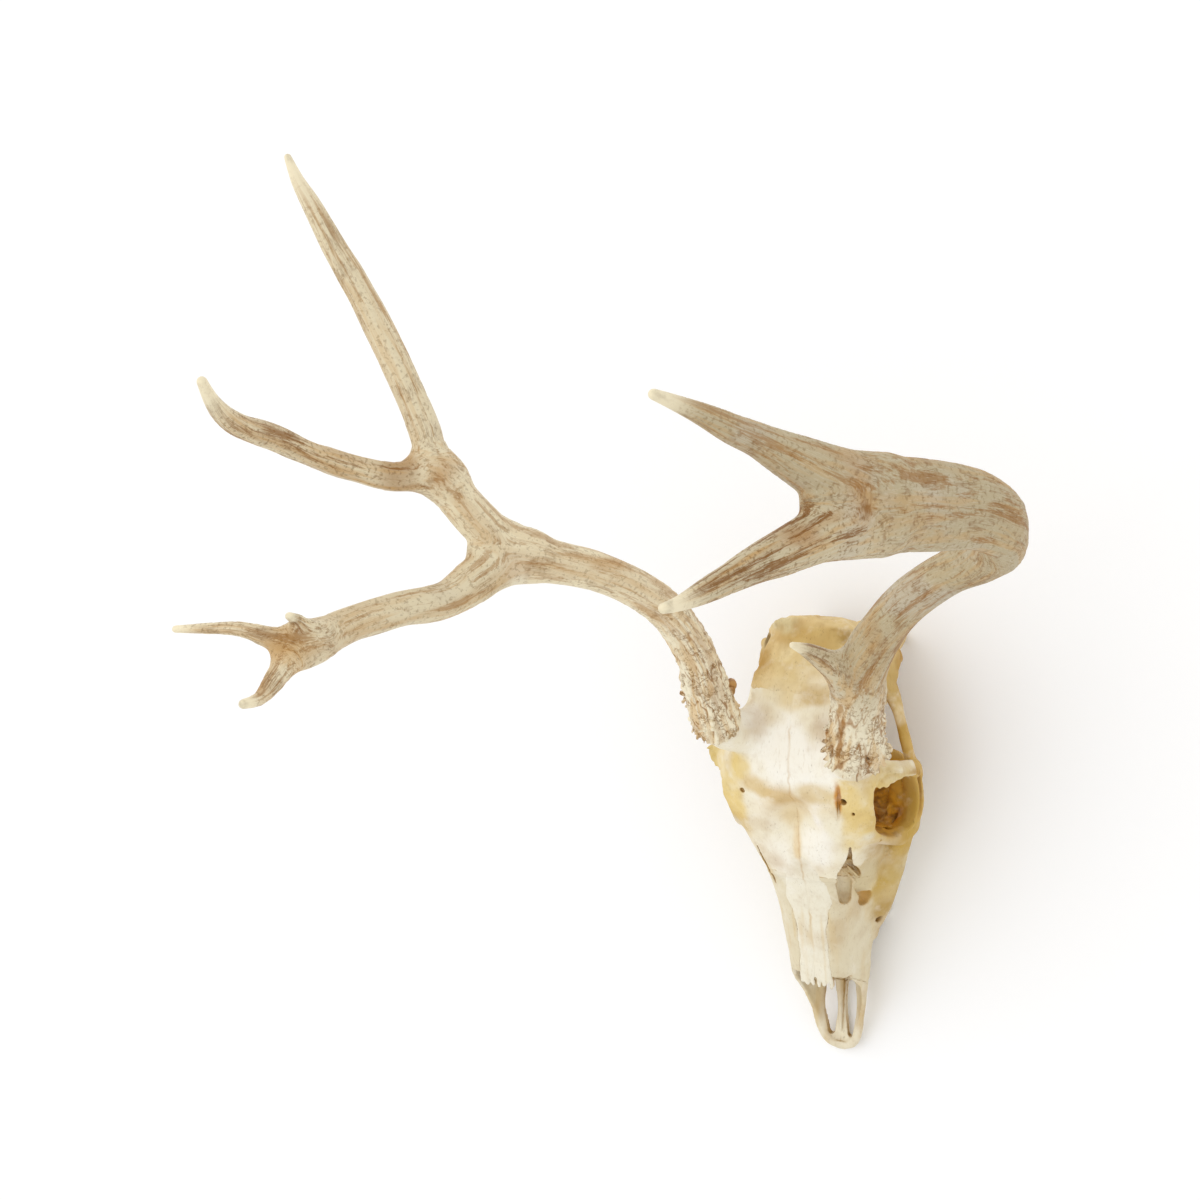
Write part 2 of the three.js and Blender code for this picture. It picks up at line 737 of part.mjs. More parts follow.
function antlers() {
  const parts = new Map();
  const leftBeam = beamWithBurr(LEFT, LEFT_BEAM, PALM_PLANE);
  const leftBrow = bar(LEFT_BROW_TINE, [1, 0, 0], TINE_SIDES);
  parts.set("antler_left_beam", join([leftBeam, leftBrow]));
  const leftCarrier = { clearance: bar(LEFT_BEAM, PALM_PLANE, ANTLER_SIDES, LEFT, SUTURE_GAP * 1.3) };
  const upper = grow(parts, "antler_left_upper_tine", leftCarrier, LEFT_UPPER_TINE, PALM_PLANE, TINE_SIDES);
  const lowerCarrier = { clearance: join([leftCarrier.clearance, upper.clearance]) };
  grow(parts, "antler_left_lower_tine", lowerCarrier, LEFT_LOWER_TINE, PALM_PLANE, TINE_SIDES);

  parts.set("antler_right_beam", beamWithBurr(RIGHT, RIGHT_BEAM, RIGHT_FORK_PLANE));
  const beam = { clearance: bar(RIGHT_BEAM, RIGHT_FORK_PLANE, ANTLER_SIDES, LEFT, SUTURE_GAP * 1.3) };
  const rear = grow(parts, "antler_right_rear_branch", beam, RIGHT_REAR_BRANCH, UPPER_FORK_PLANE, ANTLER_SIDES);
  const frontCarrier = { clearance: join([beam.clearance, rear.clearance]) };
  const name = "antler_right_front_branch";
  const front = grow(parts, name, frontCarrier, RIGHT_FRONT_BRANCH, FRONT_FORK_PLANE, ANTLER_SIDES);
  parts.set(name, join([parts.get(name), bar(RIGHT_SPUR, [1, 0, 0], TINE_SIDES)]));
  const long = grow(parts, "antler_right_long_tine", rear, RIGHT_LONG_TINE, UPRIGHT, TINE_SIDES);
  const shortCarrier = { clearance: join([rear.clearance, long.clearance]) };
  grow(parts, "antler_right_short_tine", shortCarrier, RIGHT_SHORT_TINE, [0, 1, 0], TINE_SIDES);
  const spurred = { clearance: join([front.clearance, bar(RIGHT_SPUR, [1, 0, 0], TINE_SIDES, LEFT, SUTURE_GAP)]) };
  const outer = grow(parts, "antler_right_outer_fork", spurred, RIGHT_OUTER_FORK, [0, 1, 0], TINE_SIDES);
  const innerCarrier = { clearance: join([spurred.clearance, outer.clearance]) };
  grow(parts, "antler_right_inner_fork", innerCarrier, RIGHT_INNER_FORK, [1, 0, 0], TINE_SIDES);
  return parts;
}

// ---------------------------------------------------------------------------------------------
// The group of named meshes

const BONE_TONES = new Map([
  ["nasal", 0xe9e3d2],
  ["premaxilla", 0xe4dfd0],
  ["maxilla", 0xe3dcc4],
  ["frontal", 0xefe9d8],
  ["lacrimal", 0xd9c48e],
  ["zygomatic", 0xdcc78f],
  ["braincase", 0xdbc9a0],
  ["antler", 0xc9bda4],
]);

function meshOf(name, body) {
  const { vertProperties, triVerts, numProp } = body.getMesh();
  const positions = [];
  for (let i = 0; i < vertProperties.length; i += numProp) {
    positions.push(vertProperties[i], vertProperties[i + 1], vertProperties[i + 2]);
  }
  const geometry = new THREE.BufferGeometry();
  geometry.setAttribute("position", new THREE.Float32BufferAttribute(positions, 3));
  geometry.setIndex(new THREE.BufferAttribute(new Uint32Array(triVerts), 1));
  const tone = BONE_TONES.get(name.split("_")[0]);
  const mesh = new THREE.Mesh(geometry, new THREE.MeshStandardMaterial({ color: tone, roughness: 0.7 }));
  mesh.name = name;
  return mesh;
}

function build() {
  const skull = new THREE.Group();
  const parts = new Map([...skullBones(), ...antlers()]);
  for (const [name, body] of parts) {
    skull.add(meshOf(name, body));
  }
  const box = new THREE.Box3().setFromObject(skull);
  const middle = box.getCenter(new THREE.Vector3());
  skull.position.set(-middle.x, -middle.y, -box.min.z);
  const group = new THREE.Group();
  group.name = "deer_skull";
  group.add(skull);
  return group;
}

export default build();
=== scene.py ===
"""Mule deer skull with both antlers, life size, lying on its cheek teeth on a pale studio floor.

The bone is modelled like clay: soft forms are added to and cut from a block of signed distances in
millimetres, and the block is parted along the sutures into the bones that carry names in the frame.
Sizes are in the animal's own axes: X to its left, Y from the nose to the back of the head, Z up.
"""

import logging
from dataclasses import dataclass, field
from enum import Enum
from typing import Any, Protocol

import bpy
import numpy as np
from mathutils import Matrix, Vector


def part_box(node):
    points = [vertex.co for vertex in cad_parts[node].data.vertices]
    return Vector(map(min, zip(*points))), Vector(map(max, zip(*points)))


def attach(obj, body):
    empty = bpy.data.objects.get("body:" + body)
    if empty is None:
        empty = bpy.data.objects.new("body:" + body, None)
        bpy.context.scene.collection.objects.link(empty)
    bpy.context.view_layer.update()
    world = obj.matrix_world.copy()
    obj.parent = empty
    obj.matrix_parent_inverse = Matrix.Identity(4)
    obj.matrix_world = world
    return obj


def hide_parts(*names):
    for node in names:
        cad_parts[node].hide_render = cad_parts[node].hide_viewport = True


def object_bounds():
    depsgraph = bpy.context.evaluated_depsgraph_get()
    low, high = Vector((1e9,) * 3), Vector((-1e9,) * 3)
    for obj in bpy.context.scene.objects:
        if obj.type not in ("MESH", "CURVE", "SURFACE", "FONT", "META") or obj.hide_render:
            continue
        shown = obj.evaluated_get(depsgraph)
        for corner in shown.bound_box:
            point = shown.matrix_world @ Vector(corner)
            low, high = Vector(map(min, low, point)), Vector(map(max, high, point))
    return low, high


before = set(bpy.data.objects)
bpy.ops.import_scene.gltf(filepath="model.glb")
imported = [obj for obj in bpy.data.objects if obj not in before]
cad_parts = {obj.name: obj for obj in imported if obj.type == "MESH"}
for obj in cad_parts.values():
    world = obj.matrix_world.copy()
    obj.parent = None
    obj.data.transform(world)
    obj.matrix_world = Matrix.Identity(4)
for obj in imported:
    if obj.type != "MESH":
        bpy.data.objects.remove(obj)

import openvdb
from mathutils import Matrix, Vector

LOG = logging.getLogger("deer_skull")
CAD_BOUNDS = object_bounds()

Triple = tuple[float, float, float]
Rows = tuple[tuple[float, ...], ...]

MM = 0.001
FAR = 9.0  # distance that stands for anywhere well outside the clay
BAND = 4.0  # how far from its surface a form is worked out
SKULL_STEP = 0.72  # lattice spacing of the skull, mm
ANTLER_STEP = 0.72  # lattice spacing of the antlers, mm
SUTURE = -0.3  # clear width between two bones, mm: less than nothing, as their rounded edges leave a groove
GROWN = -1.1  # the same where they have grown together


# ---------------------------------------------------------------------------------------------
# Curves and noise


def smooth_curve(keys: np.ndarray, values: np.ndarray, at: np.ndarray, steady: bool = True) -> np.ndarray:
    """A smooth curve through values given at rising keys.

    Args:
        keys: Rising positions of the known values.
        values: The known values.
        at: Positions to read the curve at.
        steady: Whether the curve never swings past its own values.

    Returns:
        The curve's values at the positions.
    """
    run = np.diff(keys)
    grade = np.diff(values) / run
    slope = np.concatenate([grade[:1], np.zeros(len(keys) - 2), grade[-1:]])
    before, after = grade[:-1], grade[1:]
    if steady:
        together = before * after
        total = np.where(together > 0, before + after, 1.0)
        slope[1:-1] = np.where(together > 0, 2 * together / total, 0.0)
    else:
        slope[1:-1] = (before * run[1:] + after * run[:-1]) / (run[1:] + run[:-1])
    at = np.clip(at, keys[0], keys[-1])
    k = np.clip(np.searchsorted(keys, at) - 1, 0, len(keys) - 2)
    t = (at - keys[k]) / run[k]
    rise = values[k + 1] - values[k]
    pull = slope[k] * run[k]
    push = slope[k + 1] * run[k]
    return values[k] + t * (pull + t * (3 * rise - 2 * pull - push + t * (pull + push - 2 * rise)))


def soft_step(low: float, high: float, at: np.ndarray) -> np.ndarray:
    """A step from 0 at low to 1 at high, with soft ends."""
    t = np.clip((at - low) / (high - low), 0.0, 1.0)
    return t * t * (3 - 2 * t)


def unit(vector: np.ndarray) -> np.ndarray:
    """The vector scaled to length one."""
    return vector / np.linalg.norm(vector)


@dataclass(frozen=True)
class Noise:
    """Smooth random values between -1 and 1 that depend on nothing but place and seed."""

    seed: int
    size: int = 64

    def lattice(self) -> np.ndarray:
        """The cube of random values that the noise is read from."""
        return np.random.default_rng(self.seed).uniform(-1, 1, (self.size,) * 3).astype(np.float32)

    def at(self, points: np.ndarray, cell: float | Triple) -> np.ndarray:
        """Noise at loose points.

        Args:
            points: Places, one per row.
            cell: Size of one grain of the noise, the same or different along each axis.

        Returns:
            One value for each point.
        """
        lattice = self.lattice()
        scaled = points / np.asarray(cell, np.float32)
        base = np.floor(scaled).astype(np.int64)
        t = (scaled - base).astype(np.float32)
        t = t * t * (3 - 2 * t)
        total = np.zeros(len(points), np.float32)
        for corner in range(8):
            offset = np.array([corner & 1, corner >> 1 & 1, corner >> 2 & 1])
            weight = np.prod(np.where(offset, t, 1 - t), axis=1)
            i, j, k = ((base + offset) % self.size).T
            total += weight * lattice[i, j, k]
        return total

    def layered(self, points: np.ndarray, cell: float, layers: int) -> np.ndarray:
        """Noise at loose points with finer grains laid over coarse ones."""
        return sum(self.at(points + 17.3 * n, cell / 2**n) / 2**n for n in range(layers))

    def block(self, axes: list[np.ndarray], cell: float) -> np.ndarray:
        """Noise on a regular lattice of places.

        Args:
            axes: The places along each axis.
            cell: Size of one grain of the noise.

        Returns:
            A block of values, one for each place.
        """
        values = self.lattice()
        for axis, places in enumerate(axes):
            scaled = places / cell
            base = np.floor(scaled).astype(np.int64)
            t = (scaled - base).astype(np.float32)
            t = t * t * (3 - 2 * t)
            shape = [1, 1, 1]
            shape[axis] = -1
            near = np.take(values, base % self.size, axis=axis)
            far = np.take(values, (base + 1) % self.size, axis=axis)
            values = near + (far - near) * t.reshape(shape)
        return values


# ---------------------------------------------------------------------------------------------
# Forms of clay


def window(axes: list[np.ndarray], low: np.ndarray, high: np.ndarray) -> tuple[slice, ...]:
    """The part of a lattice that lies between two corners."""
    return tuple(
        slice(int(np.searchsorted(axis, a)), int(np.searchsorted(axis, b)))
        for axis, a, b in zip(axes, low, high)
    )


def spread(axes: list[np.ndarray]) -> tuple[np.ndarray, np.ndarray, np.ndarray]:
    """The places along each axis, shaped so that they combine into a block."""
    return axes[0][:, None, None], axes[1][None, :, None], axes[2][None, None, :]


class Form(Protocol):
    """A solid that can say how far it is from any place."""

    def reach(self) -> tuple[np.ndarray, np.ndarray]:
        """The form's lowest and highest corner."""

    def sample(self, axes: list[np.ndarray]) -> np.ndarray:
        """Distances from the form's surface on a lattice, negative inside."""


@dataclass(frozen=True)
class Loft:
    """Rounded cross-sections across the head, run smoothly into each other along it.

    Each row is the distance from the nose, the lowest and highest point, and the half width at the
    base and at the roof. The power squares the sections off. A shift moves each one to the left.
    """

    rows: Rows
    power: float = 2.6
    shift: tuple[float, ...] = ()

    def reach(self) -> tuple[np.ndarray, np.ndarray]:
        """The form's lowest and highest corner.

        Returns:
            The two corners, in millimetres.
        """
        rows = np.array(self.rows)
        half = rows[:, 3:].max()
        out = np.array(self.shift or (0.0,))
        low = np.array([out.min() - half, rows[0, 0], rows[:, 1].min()])
        high = np.array([out.max() + half, rows[-1, 0], rows[:, 2].max()])
        return low, high

    def sample(self, axes: list[np.ndarray]) -> np.ndarray:
        """Distances from the form's surface on a lattice, negative inside.

        Args:
            axes: The places of a lattice along each axis.

        Returns:
            One distance for each place.
        """
        rows = np.array(self.rows, np.float32)
        x, y, z = spread(axes)
        along = [smooth_curve(rows[:, 0], rows[:, k], axes[1])[None, :, None] for k in range(1, 5)]
        low, high, base, roof = (column.astype(np.float32) for column in along)
        out = np.float32(0.0)
        if self.shift:
            out = smooth_curve(rows[:, 0], np.array(self.shift), axes[1])[None, :, None].astype(np.float32)
        tall = (high - low) / 2
        rise = (z - low) / (high - low)
        half = base + (roof - base) * np.clip(rise, 0, 1)
        u = np.maximum(np.abs(x - out) / half, 1e-3)
        v = np.maximum(np.abs(2 * rise - 1), 1e-3)
        up = u**self.power
        vp = v**self.power
        total = up + vp
        r = total ** (1 / self.power)
        grade = r / total * np.sqrt((up / (u * half)) ** 2 + (vp / (v * tall)) ** 2)
        section = (r - 1) / np.maximum(grade, 1 / np.maximum(half, tall))
        middle = (rows[0, 0] + rows[-1, 0]) / 2
        ends = np.abs(y - middle) - (rows[-1, 0] - rows[0, 0]) / 2
        return np.maximum(section, ends)


@dataclass(frozen=True)
class Bar:
    """A bar along a smooth line. Each point is a place with a half breadth and a half thickness."""

    points: Rows
    wide: Triple = (0.0, 0.0, 1.0)
    piece: float = 5.0

    def stations(self) -> np.ndarray:
        """The points of the bar, close enough together to be joined by straight lengths.

        Returns:
            A row of place and half sizes for each point.
        """
        points = np.array(self.points, float)
        run = np.linalg.norm(np.diff(points[:, :3], axis=0), axis=1)
        keys = np.concatenate([[0.0], np.cumsum(np.sqrt(run))])
        count = [max(1, round(length / self.piece)) for length in run]
        spans = zip(keys[:-1], keys[1:], count)
        at = np.concatenate([np.linspace(a, b, n, endpoint=False) for a, b, n in spans] + [keys[-1:]])
        columns = [smooth_curve(keys, points[:, k], at, steady=k > 2) for k in range(5)]
        return np.stack(columns, axis=1)

    def reach(self) -> tuple[np.ndarray, np.ndarray]:
        """The form's lowest and highest corner.

        Returns:
            The two corners, in millimetres.
        """
        rows = self.stations()
        swell = rows[:, 3:].max(axis=1, keepdims=True)
        return (rows[:, :3] - swell).min(axis=0), (rows[:, :3] + swell).max(axis=0)

    def sample(self, axes: list[np.ndarray]) -> np.ndarray:
        """Distances from the form's surface on a lattice, negative inside.

        Args:
            axes: The places of a lattice along each axis.

        Returns:
            One distance for each place.
        """
        rows = self.stations().astype(np.float32)
        block = np.full([len(axis) for axis in axes], FAR, np.float32)
        wide = np.array(self.wide, np.float32)
        for a, b in zip(rows[:-1], rows[1:]):
            margin = max(a[3:].max(), b[3:].max()) + BAND
            cut = window(axes, np.minimum(a, b)[:3] - margin, np.maximum(a, b)[:3] + margin)
            local = [axis[part] for axis, part in zip(axes, cut)]
            if not all(len(axis) for axis in local):
                continue
            x, y, z = spread(local)
            block[cut] = np.minimum(block[cut], self._length(a, b, wide, (x - a[0], y - a[1], z - a[2])))
        return block

    @staticmethod
    def _length(a: np.ndarray, b: np.ndarray, wide: np.ndarray, from_a: tuple[np.ndarray, ...]) -> np.ndarray:
        """Distances from one straight length of the bar.

        Args:
            a: First station of the length.
            b: Second station.
            wide: Direction that the bar is broadest in.
            from_a: X, Y and Z of the places, measured from the first station.

        Returns:
            The distances, negative inside.
        """
        run = b[:3] - a[:3]
        length = float(np.linalg.norm(run))
        along = run / length
        broad = unit(wide - along * float(wide @ along))
        thick = np.cross(along, broad)
        t = np.clip(sum(p * u for p, u in zip(from_a, along)) / length, 0, 1)
        off = [p - t * r for p, r in zip(from_a, run)]
        half_broad = a[3] + (b[3] - a[3]) * t
        half_thick = a[4] + (b[4] - a[4]) * t
        half_along = (half_broad + half_thick) / 2
        pairs = ((broad, half_broad), (thick, half_thick), (along, half_along))
        shares = [(sum(o * u for o, u in zip(off, way)) / half, half) for way, half in pairs]
        near = np.sqrt(sum(share**2 for share, _ in shares))
        steep = np.sqrt(sum((share / half) ** 2 for share, half in shares))
        return near * (near - 1) / np.maximum(steep, 1e-4)


@dataclass(frozen=True)
class Lump:
    """An egg of clay with its three half sizes along the axes."""

    centre: Triple
    radii: Triple

    def reach(self) -> tuple[np.ndarray, np.ndarray]:
        """The form's lowest and highest corner."""
        centre, radii = np.array(self.centre), np.array(self.radii)
        return centre - radii, centre + radii

    def sample(self, axes: list[np.ndarray]) -> np.ndarray:
        """Distances from the form's surface on a lattice, negative inside.

        Args:
            axes: The places of a lattice along each axis.

        Returns:
            One distance for each place.
        """
        places = spread(axes)
        shares = [(p - c) / r for p, c, r in zip(places, self.centre, self.radii)]
        near = np.sqrt(sum(share**2 for share in shares))
        steep = np.sqrt(sum((share / r) ** 2 for share, r in zip(shares, self.radii)))
        return near * (near - 1) / np.maximum(steep, 1e-4)


def outline_distance(outline: Rows, a: np.ndarray, b: np.ndarray) -> np.ndarray:
    """Distances from a closed outline in a plane, negative inside.

    Args:
        outline: Corners of the outline.
        a: First coordinates of the places.
        b: Second coordinates, in a shape that combines with the first.

    Returns:
        The distances.
    """
    far = np.full(np.broadcast(a, b).shape, 1e9)
    inside = np.zeros(far.shape, bool)
    for (a0, b0), (a1, b1) in zip(outline, outline[1:] + outline[:1]):
        run_a, run_b = a1 - a0, b1 - b0
        t = np.clip(((a - a0) * run_a + (b - b0) * run_b) / (run_a**2 + run_b**2), 0, 1)
        far = np.minimum(far, (a - a0 - t * run_a) ** 2 + (b - b0 - t * run_b) ** 2)
        if run_b:
            inside ^= ((b0 > b) != (b1 > b)) & (a < run_a * (b - b0) / run_b + a0)
    far = np.sqrt(far)
    return np.where(inside, -far, far).astype(np.float32)


@dataclass(frozen=True)
class Profile:
    """An outline seen from the side, pushed right across the head. Its corners are Y and Z."""

    outline: Rows
    half_width: float = 60.0

    def reach(self) -> tuple[np.ndarray, np.ndarray]:
        """The form's lowest and highest corner.

        Returns:
            The two corners, in millimetres.
        """
        corners = np.array(self.outline)
        low, high = corners.min(axis=0), corners.max(axis=0)
        return np.array([-self.half_width, *low]), np.array([self.half_width, *high])

    def sample(self, axes: list[np.ndarray]) -> np.ndarray:
        """Distances from the form's surface on a lattice, negative inside."""
        flat = outline_distance(self.outline, axes[1][:, None], axes[2][None, :])
        return np.broadcast_to(flat[None], [len(axis) for axis in axes])


def low_blend(a: np.ndarray, b: np.ndarray, blend: float) -> np.ndarray:
    """The lower of two distances, rounded over where they are close to each other.

    Args:
        a: Distances from one form.
        b: Distances from another.
        blend: How close to each other they are rounded.

    Returns:
        The joined distances.
    """
    if blend <= 0:
        return np.minimum(a, b)
    near = np.maximum(blend - np.abs(a - b), 0.0) / blend
    return np.minimum(a, b) - near * near * (blend / 4)


class Clay:
    """A block of signed distances on a regular lattice, negative inside the solid."""

    def __init__(self, low: Triple, high: Triple, step: float) -> None:
        """An empty block.

        Args:
            low: Lowest corner in millimetres.
            high: Highest corner.
            step: Distance between two places of the lattice.
        """
        self.step = step
        self.axes = [np.arange(a, b + step, step, dtype=np.float32) for a, b in zip(low, high)]
        self.block = np.full([len(axis) for axis in self.axes], FAR, np.float32)

    def _over(self, form: Form, margin: float) -> tuple[tuple[slice, ...], list[np.ndarray]]:
        """The part of the block that a form can touch, and its places.

        Args:
            form: The form.
            margin: How far outside the form it can touch.

        Returns:
            The part of the block, and the places along each axis of that part.
        """
        low, high = form.reach()
        cut = window(self.axes, low - margin, high + margin)
        return cut, [axis[part] for axis, part in zip(self.axes, cut)]

    def add(self, form: Form, blend: float = 0.0) -> None:
        """Joins a form to the clay, with a fillet of about the size of the blend."""
        cut, local = self._over(form, BAND + blend)
        self.block[cut] = low_blend(self.block[cut], form.sample(local), blend)

    def cut(self, form: Form, blend: float = 0.0) -> None:
        """Cuts a form out of the clay, with rounded edges of about the size of the blend."""
        cut, local = self._over(form, BAND + blend)
        self.block[cut] = -low_blend(-self.block[cut], form.sample(local), blend)

    def mirrored(self) -> "Clay":
        """The clay of a left half, which starts at the midline, with its right half added.

        Returns:
            The whole clay.
        """
        whole = Clay.__new__(Clay)
        whole.step = self.step
        whole.axes = [np.concatenate([-self.axes[0][:0:-1], self.axes[0]]), *self.axes[1:]]
        whole.block = np.concatenate([self.block[:0:-1], self.block])
        return whole

    def surface(self, block: np.ndarray | None = None, corner: tuple[int, ...] = (0, 0, 0)) -> "Skin":
        """The surface at distance zero.

        Args:
            block: Other distances for a part of the lattice.
            corner: Where in the lattice that part starts.

        Returns:
            The surface as one skin.
        """
        values = np.pad(self.block if block is None else block, 1, constant_values=FAR)
        grid = openvdb.FloatGrid(FAR)
        grid.copyFromArray(np.ascontiguousarray(np.clip(values, -FAR, FAR), dtype=np.float32))
        points, quads = grid.convertToQuads(0.0)
        start = np.array([axis[c] for axis, c in zip(self.axes, corner)]) - self.step
        return Skin(points * self.step + start.astype(np.float32), quads.astype(np.int64))


# ---------------------------------------------------------------------------------------------
# Skins: meshes while they are worked on


@dataclass
class Skin:
    """A mesh of quads with values at its points."""

    points: np.ndarray
    quads: np.ndarray
    values: dict[str, np.ndarray] = field(default_factory=dict)

    def normals(self) -> np.ndarray:
        """The outward direction at each point.

        Returns:
            One unit vector for each point.
        """
        a, b, c, d = (self.points[self.quads[:, k]] for k in range(4))
        faces = np.cross(c - a, d - b)
        total = np.zeros_like(self.points)
        for axis in range(3):
            for k in range(4):
                total[:, axis] += np.bincount(self.quads[:, k], faces[:, axis], len(self.points))
        return total / np.maximum(np.linalg.norm(total, axis=1, keepdims=True), 1e-9)

    def labels(self, quads: np.ndarray) -> np.ndarray:
        """A number for each point, the same for all points that the quads join.

        Args:
            quads: The quads that join points.

        Returns:
            One number for each point of the skin.
        """
        label = np.arange(len(self.points))
        while True:
            low = label[quads].min(axis=1)
            fresh = label.copy()
            for k in range(4):
                np.minimum.at(fresh, quads[:, k], low)
            fresh = fresh[fresh]
            if np.array_equal(fresh, label):
                return label
            label = fresh

    def part(self, keep: np.ndarray) -> "Skin":
        """The skin of the quads that are kept, without loose points.

        Args:
            keep: Which quads to keep.

        Returns:
            The new skin.
        """
        quads = self.quads[keep]
        used, compact = np.unique(quads, return_inverse=True)
        values = {name: value[used] for name, value in self.values.items()}
        return Skin(self.points[used], compact.reshape(quads.shape), values)

    def biggest(self) -> "Skin":
        """The largest body of the skin, without loose crumbs.

        Returns:
            The new skin.
        """
        label = self.labels(self.quads)[self.quads[:, 0]]
        names, counts = np.unique(label, return_counts=True)
        return self.part(label == names[counts.argmax()])

    def rim(self) -> np.ndarray:
        """The open edges of the skin as pairs of points, in the order that a lid needs.

        Returns:
            One pair for each open edge.
        """
        edges = np.concatenate([self.quads[:, [k, (k + 1) % 4]] for k in range(4)])
        code = edges.min(axis=1) * len(self.points) + edges.max(axis=1)
        _, first, counts = np.unique(code, return_index=True, return_counts=True)
        return edges[first[counts == 1]][:, ::-1]


# Where the animal's own axes lie in the shared frame: the midline runs between the premaxillae, and
# the nose is their foremost point.
_LEFT_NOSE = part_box("premaxilla_left")
_RIGHT_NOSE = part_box("premaxilla_right")
ORIGIN = np.array(
    [(_LEFT_NOSE[0][0] + _RIGHT_NOSE[1][0]) / 2, min(_LEFT_NOSE[0][1], _RIGHT_NOSE[0][1]), 0.0]
)


def to_frame(points: np.ndarray) -> np.ndarray:
    """Places in millimetres on the animal as metres in the shared frame, kept inside its limits."""
    low, high = np.array(CAD_BOUNDS[0]) + 1e-5, np.array(CAD_BOUNDS[1]) - 1e-5
    return np.clip(points * MM + ORIGIN, low, high)


def make_piece(name: str, skin: Skin, lid: np.ndarray | None = None) -> bpy.types.Object:
    """Makes an object from a skin.

    Args:
        name: Name of the piece.
        skin: Its points, quads and the values at its points.
        lid: Triangles that close its open ends, if it has any.

    Returns:
        The object, linked to the scene.
    """
    lid = np.zeros((0, 3), np.int64) if lid is None else lid
    mesh = bpy.data.meshes.new(name)
    mesh.vertices.add(len(skin.points))
    mesh.vertices.foreach_set("co", to_frame(skin.points).astype(np.float32).ravel())
    corners = np.concatenate([skin.quads.ravel(), lid.ravel()])
    mesh.loops.add(len(corners))
    mesh.loops.foreach_set("vertex_index", corners.astype(np.int32))
    sizes = np.concatenate([np.full(len(skin.quads), 4), np.full(len(lid), 3)])
    mesh.polygons.add(len(sizes))
    mesh.polygons.foreach_set("loop_start", (np.cumsum(sizes) - sizes).astype(np.int32))
    mesh.update(calc_edges=True)
    mesh.polygons.foreach_set("use_smooth", sizes == 4)
    for key, value in skin.values.items():
        if value.ndim == 2:
            layer = mesh.attributes.new(key, "FLOAT_COLOR", "POINT")
            colour = np.concatenate([value, np.ones((len(value), 1))], axis=1)
            layer.data.foreach_set("color", colour.astype(np.float32).ravel())
        else:
            layer = mesh.attributes.new(key, "FLOAT", "POINT")
            layer.data.foreach_set("value", value.astype(np.float32))
    mesh.update()
    piece = bpy.data.objects.new(name, mesh)
    bpy.context.scene.collection.objects.link(piece)
    return piece


# ---------------------------------------------------------------------------------------------
# Finishes


def tint(red: int, green: int, blue: int) -> np.ndarray:
    """A colour given as it looks on a screen, as amounts of light."""
    shown = np.array([red, green, blue]) / 255
    return np.where(shown <= 0.04045, shown / 12.92, ((shown + 0.055) / 1.055) ** 2.4)


def washed(tone: np.ndarray, colour: np.ndarray, share: np.ndarray) -> np.ndarray:
    """The tones with a colour laid over each one by its share."""
    return tone + (colour - tone) * share[:, None]


MIX_INPUTS = (0, 6, 7)  # a Mix node's share, first colour and second colour
MIX_RESULT = 2  # its output for colours


class Blend(Enum):
    """Ways to lay one colour over another."""

    PLAIN = "MIX"
    DARKEN = "MULTIPLY"


class Wire:
    """An output of a shader node that takes part in arithmetic."""

    def __init__(self, board: "Board", socket: bpy.types.NodeSocket) -> None:
        """Wraps a socket of the board's tree."""
        self.board = board
        self.socket = socket

    def _math(self, operation: str, first: "Wire | float", second: "Wire | float") -> "Wire":
        """A Math node on two values."""
        return self.board.node("ShaderNodeMath", {"operation": operation}, {0: first, 1: second})

    def __add__(self, other: "Wire | float") -> "Wire":
        """The sum."""
        return self._math("ADD", self, other)

    def __radd__(self, other: float) -> "Wire":
        """The sum, with a number on the left."""
        return self._math("ADD", other, self)

    def __sub__(self, other: "Wire | float") -> "Wire":
        """The difference."""
        return self._math("SUBTRACT", self, other)

    def __rsub__(self, other: float) -> "Wire":
        """The difference from a number."""
        return self._math("SUBTRACT", other, self)

    def __mul__(self, other: "Wire | float") -> "Wire":
        """The product."""
        return self._math("MULTIPLY", self, other)

    def __rmul__(self, other: float) -> "Wire":
        """The product, with a number on the left."""
        return self._math("MULTIPLY", other, self)

    def step(self, low: float, high: float) -> "Wire":
        """A soft step from 0 at low to 1 at high."""
        settings = {"interpolation_type": "SMOOTHSTEP"}
        return self.board.node("ShaderNodeMapRange", settings, {0: self, 1: low, 2: high, 3: 0.0, 4: 1.0})


